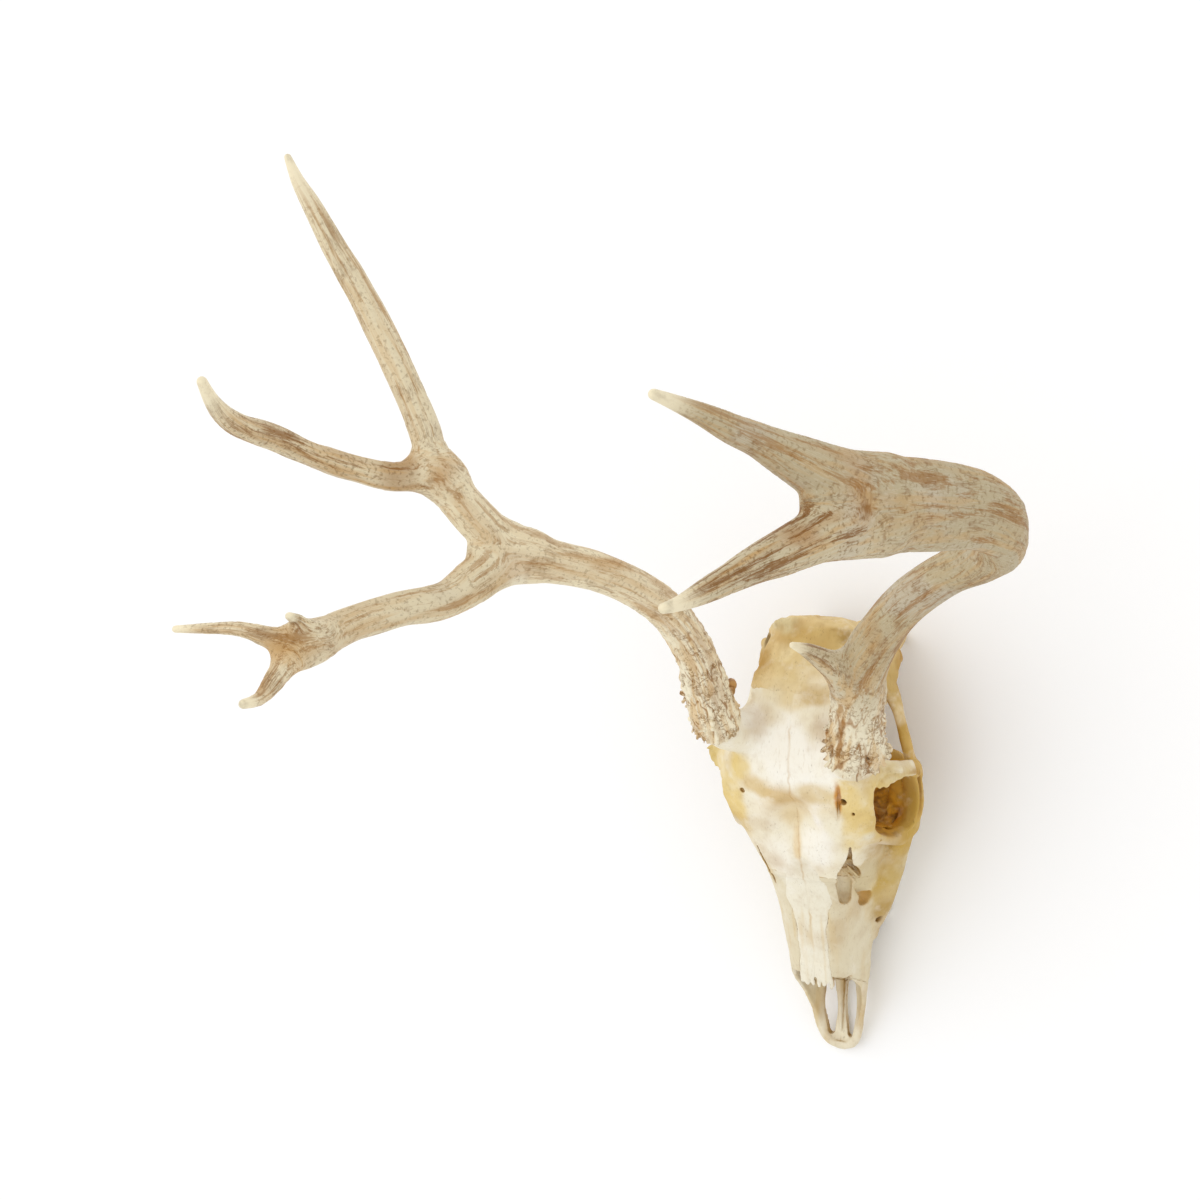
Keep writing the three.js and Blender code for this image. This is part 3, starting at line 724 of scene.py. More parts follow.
class Board:
    """The node tree of one finish."""

    def __init__(self, name: str) -> None:
        """An empty material of that name.

        Args:
            name: Name of the material.
        """
        self.material = bpy.data.materials.new(name)
        self.material.use_nodes = True
        self.tree = self.material.node_tree
        self.tree.nodes.clear()

    def node(self, kind: str, settings: dict[str, Any], values: dict[Any, Any], output: Any = 0) -> Wire:
        """Adds a node.

        Args:
            kind: Blender's name of the node type.
            settings: Properties to set before anything else.
            values: What goes into its inputs: wires, numbers or colours.
            output: Which of its outputs to hand back.

        Returns:
            The output.
        """
        made = self.tree.nodes.new(kind)
        for key, value in settings.items():
            setattr(made, key, value)
        for key, value in values.items():
            if isinstance(value, Wire):
                self.tree.links.new(value.socket, made.inputs[key])
            else:
                made.inputs[key].default_value = value
        return Wire(self, made.outputs[output])

    def value(self, name: str) -> Wire:
        """A number held at the points of the mesh."""
        return self.node("ShaderNodeAttribute", {"attribute_name": name}, {}, "Fac")

    def colour(self, name: str) -> Wire:
        """A colour held at the points of the mesh."""
        return self.node("ShaderNodeAttribute", {"attribute_name": name}, {}, "Color")

    def place(self, stretch: Triple = (1.0, 1.0, 1.0)) -> Wire:
        """Where the shaded point is, with each axis scaled."""
        here = self.node("ShaderNodeTexCoord", {}, {}, "Object")
        return self.node("ShaderNodeVectorMath", {"operation": "MULTIPLY"}, {0: here, 1: stretch})

    def cloud(
        self, at: Wire, scale: float, detail: float = 3.0, rough: float = 0.55, bend: float = 0.0
    ) -> Wire:
        """Cloudy noise from 0 to 1."""
        values = {"Vector": at, "Scale": scale, "Detail": detail, "Roughness": rough, "Distortion": bend}
        return self.node("ShaderNodeTexNoise", {}, values, 0)

    def cells(self, at: Wire, scale: float) -> Wire:
        """Distance from the middle of the nearest of many scattered cells."""
        return self.node("ShaderNodeTexVoronoi", {"feature": "F1"}, {"Vector": at, "Scale": scale}, 0)

    def mix(self, first: Any, second: Any, share: Any, blend: Blend = Blend.PLAIN) -> Wire:
        """The second colour laid over the first by a share.

        Args:
            first: The colour below.
            second: The colour on top.
            share: How much of it shows, from 0 to 1.
            blend: How it is laid over.

        Returns:
            The mixed colour.
        """
        settings = {"data_type": "RGBA", "blend_type": blend.value}
        made = {}
        for key, value in zip(MIX_INPUTS, (share, first, second)):
            made[key] = (*value, 1.0) if isinstance(value, (np.ndarray, tuple)) else value
        return self.node("ShaderNodeMix", settings, made, MIX_RESULT)

    def finish(self, base: Wire, rough: Wire, height: Wire, lift: float, gloss: float) -> bpy.types.Material:
        """Closes the tree with a surface.

        Args:
            base: Colour of the surface.
            rough: Its roughness.
            height: Height of its fine relief, from 0 to 1.
            lift: How high that relief stands, in metres.
            gloss: Strength of the mirror-like part.

        Returns:
            The material.
        """
        relief = self.node("ShaderNodeBump", {}, {"Strength": 1.0, "Distance": lift, "Height": height})
        values = {"Base Color": base, "Roughness": rough, "Normal": relief, "Specular IOR Level": gloss}
        surface = self.node("ShaderNodeBsdfPrincipled", {}, values)
        end = self.tree.nodes.new("ShaderNodeOutputMaterial")
        self.tree.links.new(surface.socket, end.inputs["Surface"])
        return self.material


@dataclass(frozen=True)
class BoneFinish:
    """Dry, weathered bone: its stains and patches of painted light come with the mesh; its pores, fine mottle
    and the painted shade of its hollows are drawn here.
    """

    name: str
    pores: float = 0.35  # how strongly the pores show
    rough: float = 0.52
    lift: float = 0.00035

    def make(self) -> bpy.types.Material:
        """Builds the material.

        Returns:
            The material.
        """
        board = Board(self.name)
        grain = board.place((1.0, 0.22, 1.0))
        here = board.place()
        mottle = board.cloud(here, 90.0, 5.0, 0.6)
        fine = board.cloud(grain, 900.0, 4.0, 0.6)
        pits = board.cells(grain, 1150.0).step(0.30, 0.05) * board.cloud(here, 160.0, 2.0).step(0.50, 0.68)
        worn = board.value("worn")
        base = board.mix(board.colour("tone"), tint(176, 142, 92), mottle.step(0.50, 0.78) * 0.22)
        base = board.mix(base, tint(250, 247, 238), mottle.step(0.48, 0.25) * 0.28)
        base = board.mix(base, tint(120, 88, 50), pits * self.pores)
        # Painted shade: dark brown in the hollows, where bone crowds round a point, and on the worn faces of
        # the teeth.
        dark_wash = worn * board.cloud(here, 420.0, 4.0).step(0.35, 0.65) * 0.55
        base = board.mix(base, tint(104, 74, 40), dark_wash)
        base = board.mix(base, tint(205, 190, 160), fine.step(0.52, 0.75) * 0.25, Blend.DARKEN)
        rough = fine * 0.22 + (self.rough - 0.11) + worn * 0.15
        height = fine * 0.35 + mottle * 0.4 - pits * 0.6
        return board.finish(base, rough, height, self.lift, 0.16)


@dataclass(frozen=True)
class AntlerFinish:
    """Antler: pale ridges and tips, brown in the furrows, with fine streaks that run along it."""

    name: str
    rough: float = 0.5
    lift: float = 0.0003

    def make(self) -> bpy.types.Material:
        """Builds the material.

        Returns:
            The material.
        """
        board = Board(self.name)
        grain = board.colour("grain")
        here = board.place()
        soil, pearled = board.value("soil"), board.value("pearled")
        streak = board.cloud(grain, 3.6, 6.0, 0.7, 0.6)
        thread = board.cloud(grain, 12.0, 4.0, 0.65)
        patch = board.cloud(grain, 1.3, 3.0, 0.6, 0.4)
        wriggle = board.cloud(here, 330.0, 2.0, 0.5, 0.8) - 0.5
        hair = board.cloud(grain, 3.2, 3.0, 0.5, 0.6) - 0.5
        speck = board.cloud(here, 480.0, 2.0, 0.6).step(0.54, 0.66)
        pits = 1.0 - (wriggle * wriggle).step(0.0, 0.005)
        hairs = 1.0 - (hair * hair).step(0.0, 0.0035)
        pits = pits * board.cloud(here, 120.0, 3.0).step(0.46, 0.60) * (pearled * 0.85 + 0.15)
        hairs = hairs * board.cloud(here, 60.0, 3.0).step(0.50, 0.62)
        dark_wash = (board.value("furrow") * 0.5 + streak * 0.9 + thread * 0.4 - 0.92).step(-0.03, 0.15)
        base = board.mix(board.colour("tone"), tint(198, 150, 78), patch.step(0.46, 0.66) * soil * 0.5)
        base = board.mix(base, tint(208, 164, 90), patch.step(0.48, 0.60) * pearled * 0.45)
        base = board.mix(base, tint(128, 96, 52), speck * soil * 0.6)
        base = board.mix(base, board.colour("shade"), dark_wash * soil * 0.9)
        base = board.mix(base, tint(150, 96, 24), board.value("crease").step(0.35, 1.0) * 0.75)
        base = board.mix(base, tint(142, 96, 30), pits * 0.7)
        base = board.mix(base, tint(132, 86, 28), hairs * soil * 0.6)
        base = board.mix(base, tint(250, 243, 224), thread.step(0.50, 0.30) * 0.14)
        rough = thread * 0.2 + (self.rough - 0.1)
        height = (streak * 0.6 + thread * 0.35) * soil - pits * 0.5 - hairs * 0.25
        return board.finish(base, rough, height, self.lift, 0.14)


@dataclass(frozen=True)
class FloorFinish:
    """Plain pale studio floor."""

    name: str = "studio_floor"
    colour: Triple = (0.98, 0.98, 0.98)

    def make(self) -> bpy.types.Material:
        """Builds the material.

        Returns:
            The material.
        """
        material = bpy.data.materials.new(self.name)
        material.use_nodes = True
        surface = material.node_tree.nodes["Principled BSDF"]
        surface.inputs["Base Color"].default_value = (*self.colour, 1.0)
        surface.inputs["Roughness"].default_value = 0.9
        surface.inputs["Specular IOR Level"].default_value = 0.1
        return material


@dataclass(frozen=True)
class ColourCloud:
    """A soft cloud of colour at a place on the animal."""

    centre: Triple
    radii: Triple
    colour: tuple[int, int, int]
    share: float = 1.0
    both: bool = False  # whether its mirror image is stained too

    def lay(self, tone: np.ndarray, points: np.ndarray, ragged: np.ndarray) -> np.ndarray:
        """Lays the cloud of colour over the tones of some points.

        Args:
            tone: Colours so far.
            points: Places of the points.
            ragged: Noise that roughens the edge.

        Returns:
            The new colours.
        """
        off = points - np.array(self.centre)
        if self.both:
            off[:, 0] = np.abs(points[:, 0]) - self.centre[0]
        far = np.linalg.norm(off / np.array(self.radii), axis=1) + 0.36 * ragged
        share = self.share * (1 - soft_step(0.35, 1.1, far))
        return washed(tone, tint(*self.colour), share)


# ---------------------------------------------------------------------------------------------
# The skull

UPWARD_OUT = (0.35, 0.22, 0.9)  # the way that the gap in the face and the eye socket look out


@dataclass(frozen=True)
class Snout:
    """The muzzle, open above from the nose to the tips of the nasal bones."""

    outer: Loft = Loft((
        (0, 2.8, 6, 3.2, 2.6), (3, 2, 9, 9, 9), (10, 2, 13, 12.4, 14.2), (17, 2.4, 17, 13.8, 16.8),
        (26, 3.2, 22, 14.8, 19), (38, 4.8, 33, 17, 22.8), (50, 7, 44, 20, 24.2), (62, 9, 51, 22.2, 23),
    ))
    aperture: Profile = Profile((
        (-10, 7), (4, 8.4), (10, 9.8), (17, 11.6), (26, 14.8), (38, 21.5), (46, 28.6), (52, 35.6),
        (57, 41.6), (61.5, 45.2), (60.5, 47.6), (53, 48.4), (52, 66), (-10, 66),
    ))
    passage: Loft = Loft(
        (
            (6, 6.2, 16, 5, 7), (12, 6.2, 18, 9.4, 12.4), (17, 6.4, 22, 10.8, 15),
            (26, 6.8, 27, 12.2, 17.8), (38, 8.2, 38, 15, 21.4), (50, 10.6, 50, 17.8, 22.4),
            (57, 12.8, 51.2, 19.4, 19.4), (66, 14, 53, 21.4, 17.4), (78, 17, 56.4, 23, 15.6),
            (104, 24, 64.4, 25.6, 18), (124, 36, 74, 31, 22.4), (142, 44, 82, 31, 26),
            (150, 52, 80, 20, 16),
        ),
        2.2,
    )
    fissure_middle: float = 28.0
    fissure_reach: float = 18.0
    fissure_out: float = 7.0
    fissure_half: float = 4.1
    vomer: Rows = (
        (0.0, 14, 6.4, 2.0, 1.3), (0.0, 34, 9.0, 3.0, 2.0), (0.0, 50, 13, 4, 3.0), (0.0, 72, 18, 6, 2.4),
    )
    septum: Rows = (
        (0.0, 58, 22, 6, 1.0), (0.0, 80, 32, 16, 1.1), (0.0, 112, 44, 22, 1.2), (0.0, 146, 58, 20, 1.4),
    )
    scrolls: tuple[Rows, ...] = (
        ((12.5, 66, 40, 5, 0.9), (13, 84, 44, 8, 1.0), (13.6, 108, 52, 9, 1.1), (14, 142, 64, 9, 1.2)),
        ((8.0, 74, 30, 6, 0.9), (10, 96, 38, 8, 1.0), (12, 126, 50, 8, 1.1), (12, 146, 58, 8, 1.2)),
        ((16, 106, 56, 3.4, 0.9), (17, 120, 62, 6, 1.1), (18, 136, 68, 7, 1.2), (18, 148, 72, 6, 1.4)),
        ((21, 112, 54, 3, 0.9), (22.6, 126, 61, 6, 1.1), (23, 142, 68, 7, 1.4)),
        ((27, 110, 44, 3, 0.9), (28, 126, 54, 8, 1.2), (28, 144, 62, 9, 1.4)),
    )

    def model(self, clay: Clay) -> None:
        """Adds the muzzle to the clay."""
        clay.add(self.outer, 2.0)

    def hollow(self, clay: Clay) -> None:
        """Opens the nasal passage, its mouth and the two palatine fissures.

        Args:
            clay: The left half of the skull, changed in place.
        """
        clay.cut(self.passage, 0.8)
        clay.cut(self.aperture, 1.0)
        out, half = self.fissure_out, self.fissure_half
        front, back = self.fissure_middle - self.fissure_reach, self.fissure_middle + self.fissure_reach
        ends = (out - 0.6, front + 3, half * 0.5), (out, back - 3, half * 0.8)
        slot = (ends[0], (out, self.fissure_middle, half), ends[1])
        for rise in (0.0, 6.0, 12.0):
            rows = tuple((x, y, rise, 5.0, wide) for x, y, wide in slot)
            clay.cut(Bar(rows, (0, 0, 1), 3.0), 0.8)

    def furnish(self, clay: Clay) -> None:
        """Sets the vomer and the scrolls of thin bone inside the passage.

        Args:
            clay: The left half of the skull, changed in place.
        """
        clay.add(Bar(self.vomer, (0, 0, 1), 4.0), 1.2)
        clay.add(Bar(self.septum, (0, 0, 1), 5.0), 1.0)
        for line in self.scrolls:
            clay.add(Bar(line, (0.35, 0, 1), 4.0), 1.0)


@dataclass(frozen=True)
class Face:
    """Cheeks and roof of the face between the muzzle and the eyes, with its gaps and foramina."""

    outer: Loft = Loft(
        (
            (54, 8.6, 53, 22.2, 20.4), (66, 10.4, 57.2, 24.8, 20.6), (78, 12, 60.8, 26.6, 21.6),
            (90, 13.6, 65, 29.6, 23), (104, 15, 69.6, 33, 24.8), (126, 18, 80, 39.4, 29.6),
            (145, 25, 90, 43, 37), (158, 34, 95, 44, 42),
        ),
        3.0,
    )
    nasal_tips: Loft = Loft((
        (52.6, 49.6, 53.4, 9.4, 8), (57, 49, 55.2, 11.6, 9.8), (68, 50, 58.4, 14.5, 12),
    ))
    ridge: Loft = Loft(
        (
            (80, 15, 28, 3.4, 4.6), (98, 12, 37, 6, 7.6), (128, 11.5, 46, 8.2, 10), (160, 12, 45, 8, 9.4),
            (178, 21, 34, 3.6, 4.4),
        ),
        2.8, (21.4, 23.6, 27.2, 28, 26.5),
    )
    palate: Loft = Loft(
        ((40, 8, 14.6, 15, 16), (96, 14, 21, 23, 23), (160, 16.5, 26, 24, 22), (176, 20, 26.6, 19, 16)),
        4.0,
    )

    gap: tuple[Rows, ...] = (
        (
            (29.4, 150, 84.8, 0.7), (27.8, 142.6, 81, 2.0), (25.2, 135.4, 78, 4.4), (22.8, 129, 75, 5.8),
            (21.2, 121.6, 70.6, 4.6), (20.2, 114, 66, 4.2),
        ),
        ((24.4, 131.2, 77.2, 3.8), (23.4, 130.8, 77.6, 2.8)),
        ((26.4, 137, 77, 2.4), (28.8, 133, 73.4, 2.2), (30.2, 129, 70, 1.7)),
    )
    far_gap: tuple[Rows, ...] = (
        ((27.6, 144, 82.6, 0.5), (25.8, 135, 78.4, 1.3), (24.2, 127, 75, 1.7), (22.4, 119, 70.6, 1.4)),
    )
    gap_depth: float = 4.4
    channel: Rows = ((30, 130, 72.4, 1.4, 2.4), (29.4, 122, 65, 1.5, 3.6), (27.6, 114, 56, 1.6, 4.2))
    plate: Rows = (
        (22.4, 131, 71.6, 6, 1.4), (20.2, 124, 66.8, 6.4, 1.5), (18.6, 116.6, 62, 6, 1.5),
        (17.8, 111, 58, 5, 1.4),
    )
    pleats: Rows = ((21.4, 132.6, 73.8), (21.6, 129.4, 71.8), (24.2, 139.2, 76.6), (23.8, 135.6, 75))
    tuber: Bar = Bar((
        (26, 94, 25, 7, 5), (32, 106, 28.5, 8, 5.4), (35.4, 117, 30.5, 8.6, 5.6), (38.8, 127, 32.6, 9, 5.8),
        (42.4, 138, 36.6, 9, 5.4), (46, 149, 42, 9, 4.6),
    ))

    presses: tuple[tuple[Form, float], ...] = (
        (Lump((60, 132, 88), (27, 24, 17)), 7.0),
        (Lump((50, 90, 66), (21, 40, 22)), 8.0),
        (Bar(((15.4, 60, 61, 3, 5), (17, 84, 66.4, 3, 6), (20, 104, 75, 4, 6)), (0, 0, 1)), 4.0),
    )
    pocket_wall: Lump = Lump((22, 110.4, 46.4), (3.4, 7, 7.4))
    pocket: Lump = Lump((27.6, 111.9, 52.6), (6.2, 4.8, 6.4))
    cheek_foramen: Bar = Bar(((40, 92, 33, 2.6, 2.2), (27, 95, 31, 2.8, 2.4)), (0, 0, 1), 3.0)

    def model(self, clay: Clay) -> None:
        """Adds the face to the clay.

        Args:
            clay: The left half of the skull, changed in place.
        """
        clay.add(self.outer, 3.0)
        clay.add(self.palate, 2.0)
        clay.add(self.ridge, 4.0)
        clay.add(self.tuber, 5.0)

    def shape(self, clay: Clay) -> None:
        """Presses the hollow before the eye and the flutes beside the nasal bones into the face."""
        for form, edge in self.presses:
            clay.cut(form, edge)

    def hollow(self, clay: Clay) -> None:
        """Opens the hole below the gap in the face, and the foramen before the cheek.

        Args:
            clay: The left half of the skull, changed in place.
        """
        clay.add(self.pocket_wall, 1.0)
        clay.cut(self.pocket, 0.9)
        clay.cut(self.cheek_foramen, 1.2)

    def open_gaps(self, clay: Clay) -> None:
        """Opens the gap before each eye over a thin plate, and pleats the wide left one.

        Args:
            clay: The whole skull, changed in place.
        """
        clay.cut(Bar(self.channel, UPWARD_OUT, 3.0), 1.6)
        for side, gap in ((1, self.gap), (-1, self.far_gap)):
            way = (side * UPWARD_OUT[0], *UPWARD_OUT[1:])
            for hole in gap:
                rows = tuple((side * x, y, z, self.gap_depth, half) for x, y, z, half in hole)
                clay.cut(Bar(rows, way, 3.0), 0.7)
            plate = tuple((side * x, *rest) for x, *rest in self.plate)
            clay.add(Bar(plate, (0.93 * side, 0, -0.36), 3.0), 0.8)
        for number, (x, y, z) in enumerate(self.pleats):
            bend = 1.6 * (number % 3) - 1.6
            pleat = (
                (x, y, z, 1.0, 0.6),
                (x + 3.2, y - 1.4 + bend, z - 1.4, 1.3, 0.8),
                (x + 6.4, y - 5.4 + bend, z - 3.6, 1.0, 0.6),
            )
            clay.add(Bar(pleat, (0, 0, 1), 2.0), 1.0)

    def furnish(self, clay: Clay) -> None:
        """Adds the tips of the nasal bones with the notches in their ends.

        Args:
            clay: The left half of the skull, changed in place.
        """
        clay.add(self.nasal_tips, 1.0)
        clay.cut(Loft(((46, 44, 50.4, 9, 7), (62, 44, 53.8, 12, 9), (74, 44, 55.6, 13, 10)), 2.4), 0.8)
        for x, notch in ((0.0, 59.0), (3.4, 56.0), (7.4, 57.0)):
            clay.cut(Bar(((x, 50, 51, 5, 1.6), (x + 0.3, notch, 52.6, 5, 0.3)), (0, 0, 1)), 0.4)


@dataclass(frozen=True)
class Orbit:
    """The ring of bone round the eye, and the socket behind it."""

    socket: Bar = Bar(
        (
            (74, 170, 71, 22.6, 22.6), (58, 174, 71, 21, 21), (44, 178, 71, 19.6, 20),
            (31, 183, 71, 15, 16), (19, 188, 70, 6, 6),
        ),
        (0, 0, 1), 4.0,
    )
    rear_bar: Bar = Bar(
        (
            (42, 195, 97, 11, 4.6), (51.4, 195.4, 90, 8, 3.2), (58.6, 196.4, 79, 5.8, 2.8),
            (59.8, 194.6, 67, 5.8, 2.8), (58, 191, 57, 6.4, 3),
        ),
        (0, 1, 0),
    )
    front_rim: Bar = Bar(
        (
            (36, 163, 87, 6, 4.6), (41, 157.6, 79, 5.6, 4.6), (46, 154, 67, 5, 5),
            (50.4, 153, 55, 5.6, 4.6), (52.6, 157, 46, 5, 4),
        ),
        (0, 1, 0),
    )
    roof_rim: Bar = Bar(
        (
            (38, 160, 86, 4.6, 2.0), (41, 170, 91.6, 5, 1.9), (45, 181, 95.6, 5.6, 1.9),
            (50.6, 190, 96, 5.6, 2.2), (56.6, 197, 90, 5, 2.4),
        ),
        (0.8, 0, 0.3),
    )
    floor_rim: Bar = Bar(
        (
            (51, 154, 50, 4, 2.6), (56.4, 162, 50.6, 3.6, 2.4), (59.2, 173, 52.6, 3.4, 2.2),
            (59.4, 184, 56.4, 3.2, 2.2), (57.6, 193, 61, 3.2, 2.4),
        ),
        (0.3, 0, 1),
    )

    mouth: Bar = Bar(
        (
            (50.4, 174.5, 70, 17, 12.4), (52.6, 175.9, 75, 17.4, 12.8), (57.7, 179.2, 90, 17.6, 13),
            (63.1, 182.7, 106, 17.6, 13),
        ),
        (0, 1, 0),
    )
    eave: Bar = Bar(
        (
            (37, 187, 96.4, 4.6, 2.0), (44.6, 189.6, 95.2, 4.6, 1.6), (50.4, 192.2, 93.8, 4.4, 1.5),
            (55.6, 195.6, 90.6, 4.2, 1.9), (59.0, 197.4, 85, 4.0, 2.2), (60.4, 196.4, 77, 3.6, 2.4),
            (60.8, 194, 68, 3.4, 2.6),
        ),
        (-0.45, 0.88, 0), 3.0,
    )
    apron: Bar = Bar(
        (
            (45.0, 155, 58, 7, 2.0), (50.4, 160, 51.6, 8, 2.0), (52.6, 171, 50, 8, 1.9),
            (54.2, 183, 54, 6.4, 1.7), (54.4, 193, 61, 5.4, 1.9),
        ),
        (0.85, 0, 0.5), 3.0,
    )
    floor: tuple[Form, ...] = (
        Bar(
            ((31, 158, 40, 10, 9), (36, 170, 40, 11, 7.4), (38, 182, 42, 11, 6), (38, 194, 44, 10, 5.4)),
            (1, 0, 0.25),
        ),
        Lump((35, 166, 46), (6, 8, 6)),
        Lump((43.6, 176, 46), (5, 8, 4)),
        Lump((30, 178, 48), (5, 7, 5)),
    )
    canals: tuple[tuple[Rows, float], ...] = (
        (((30, 182, 62, 4, 4), (16, 192, 56, 3, 3)), 1.0),
        (((44, 158, 62, 2.2, 2.2), (35, 150, 56, 2, 2)), 0.8),
    )
    nicks: int = 8

    def model(self, clay: Clay) -> None:
        """Adds the rims to the clay.

        Args:
            clay: The left half of the skull, changed in place.
        """
        clay.add(self.rear_bar, 4.0)
        clay.add(self.front_rim, 4.0)
        clay.add(self.roof_rim, 5.0)
        clay.add(self.floor_rim, 3.0)

    def hollow(self, clay: Clay) -> None:
        """Opens the socket and the canals that leave it, over the swollen floor at its front.

        Args:
            clay: The left half of the skull, changed in place.
        """
        clay.cut(self.socket, 1.2)
        clay.cut(self.mouth, 1.2)
        for form in self.floor:
            clay.add(form, 2.5)
        clay.add(self.apron, 2.0)
        clay.add(self.eave, 1.6)
        edge = self.eave.stations()
        rng = np.random.default_rng(5)
        for at in np.linspace(0.22, 0.86, self.nicks) * (len(edge) - 1):
            spot = edge[int(at)] + (edge[min(int(at) + 1, len(edge) - 1)] - edge[int(at)]) * (at % 1)
            size = rng.uniform(1.0, 1.7)
            place = (spot[0] + 2.0, spot[1] - 4.2 + rng.uniform(-0.5, 0.3), spot[2] - 0.4)
            clay.cut(Lump(place, (size, size, 3)), 0.5)
        for rows, edge in self.canals:
            clay.cut(Bar(rows, (0, 0, 1)), edge)


@dataclass(frozen=True)
class Vault:
    """The forehead, the braincase and the crest behind it."""

    shield: Loft = Loft(
        (
            (126, 66, 80, 26, 22), (143, 73, 88.6, 37, 29), (156, 77, 96, 45, 33.5),
            (169, 82, 102.6, 52, 37), (184, 85, 109, 55, 39), (197, 83, 112, 52, 37),
            (210, 80, 112, 43, 31), (244, 68, 104.4, 38, 28),
        ),
        2.7,
    )
    case: Loft = Loft(
        (
            (188, 54, 98, 19, 21), (206, 43, 107, 27, 28), (220, 36, 109, 33.6, 33.6),
            (234, 32, 108, 38, 35), (248, 31, 104, 38.5, 33), (260, 33, 99, 34, 29.5),
            (269, 37, 94.5, 28, 26), (275, 45, 91, 22, 24), (279, 62, 87.6, 15, 19),
        ),
        2.3,
    )
    crest: Bar = Bar((
        (0, 278.4, 86.4, 3.4, 3.0), (9, 277.8, 86.6, 3.2, 2.6), (16, 276.4, 85, 3.2, 2.4),
        (22.5, 273.6, 81, 3.4, 2.4), (29, 266, 72, 3.6, 2.4), (36.4, 256, 61, 4.2, 3),
        (40, 248, 55, 5, 3.6),
    ))
    temple_line: Bar = Bar(
        (
            (27.5, 236, 100.4, 1.6, 1.2), (26.2, 244, 97.0, 2.2, 1.6), (25, 252, 92.4, 2.4, 1.7),
            (23.6, 260, 88.2, 2.6, 1.8), (22, 268, 84.0, 2.6, 1.9), (20.6, 274, 82.4, 2.6, 1.9),
        ),
        (1, 0, 0),
    )

    furrow: Rows = (
        (29.8, 191, 109.2, 0.8, 0.5), (29.2, 184, 106.4, 1.3, 0.8), (28.0, 176, 102.6, 1.3, 0.9),
        (27.3, 166, 99.6, 1.1, 0.6), (26.8, 158, 97.4, 0.5, 0.3),
    )
    foramina: tuple[tuple[Rows, float], ...] = (
        (((31, 177.6, 107, 2, 2), (31.4, 181, 98, 1.7, 1.7), (32, 183, 92, 1.4, 1.4)), 0.8),
        (((35.4, 171, 104, 1.1, 1.1), (35.8, 172, 97, 0.9, 0.9)), 0.6),
        (((-31, 177.6, 107, 1.9, 1.9), (-31.2, 178.6, 102.6, 1.5, 1.5)), 0.8),
    )

    mastoid: Bar = Bar(((36, 252, 57, 6, 4), (38.6, 256, 52, 7, 4), (36, 259, 43, 6, 3.4)), (0, 0, 1))
    presses: tuple[tuple[Form, float], ...] = (
        (Lump((58, 232, 78), (19, 21, 20)), 8.0),
        (Lump((0, 152, 104), (15, 24, 12)), 7.0),
        (Lump((17, 268, 100), (15, 12, 7)), 5.0),
    )

    def model(self, clay: Clay) -> None:
        """Adds the vault to the clay.

        Args:
            clay: The left half of the skull, changed in place.
        """
        clay.add(self.shield, 6.0)
        clay.add(self.case, 6.0)
        clay.add(self.crest, 3.5)
        clay.add(self.temple_line, 4.0)
        clay.add(self.mastoid, 3.0)

    def shape(self, clay: Clay) -> None:
        """Presses the temples and the forehead's dish into the bone."""
        for form, edge in self.presses:
            clay.cut(form, edge)

    def groove(self, clay: Clay) -> None:
        """Opens the furrow of the left brow and the foramina of both brows.

        Args:
            clay: The whole skull, changed in place.
        """
        clay.cut(Bar(self.furrow, UPWARD_OUT, 3.0), 0.8)
        for rows, edge in self.foramina:
            clay.cut(Bar(rows), edge)


@dataclass(frozen=True)
class CheekArch:
    """The arch from the cheek to the ear."""

    line: Bar = Bar((
        (31, 118, 36, 6, 4), (38, 133, 40, 9, 5), (46.5, 149, 43, 10, 4.6), (54, 163, 46, 8.6, 3.8),
        (56.9, 176, 50.4, 7.2, 3.2), (56.2, 190, 56, 6.4, 3), (52.4, 206, 58.6, 5.6, 2.6),
        (47, 221, 57.6, 5.4, 2.6), (42, 234, 57, 7, 4), (35, 247, 57, 8, 5),
    ))

    def model(self, clay: Clay) -> None:
        """Adds the arch to the clay."""
        clay.add(self.line, 3.5)


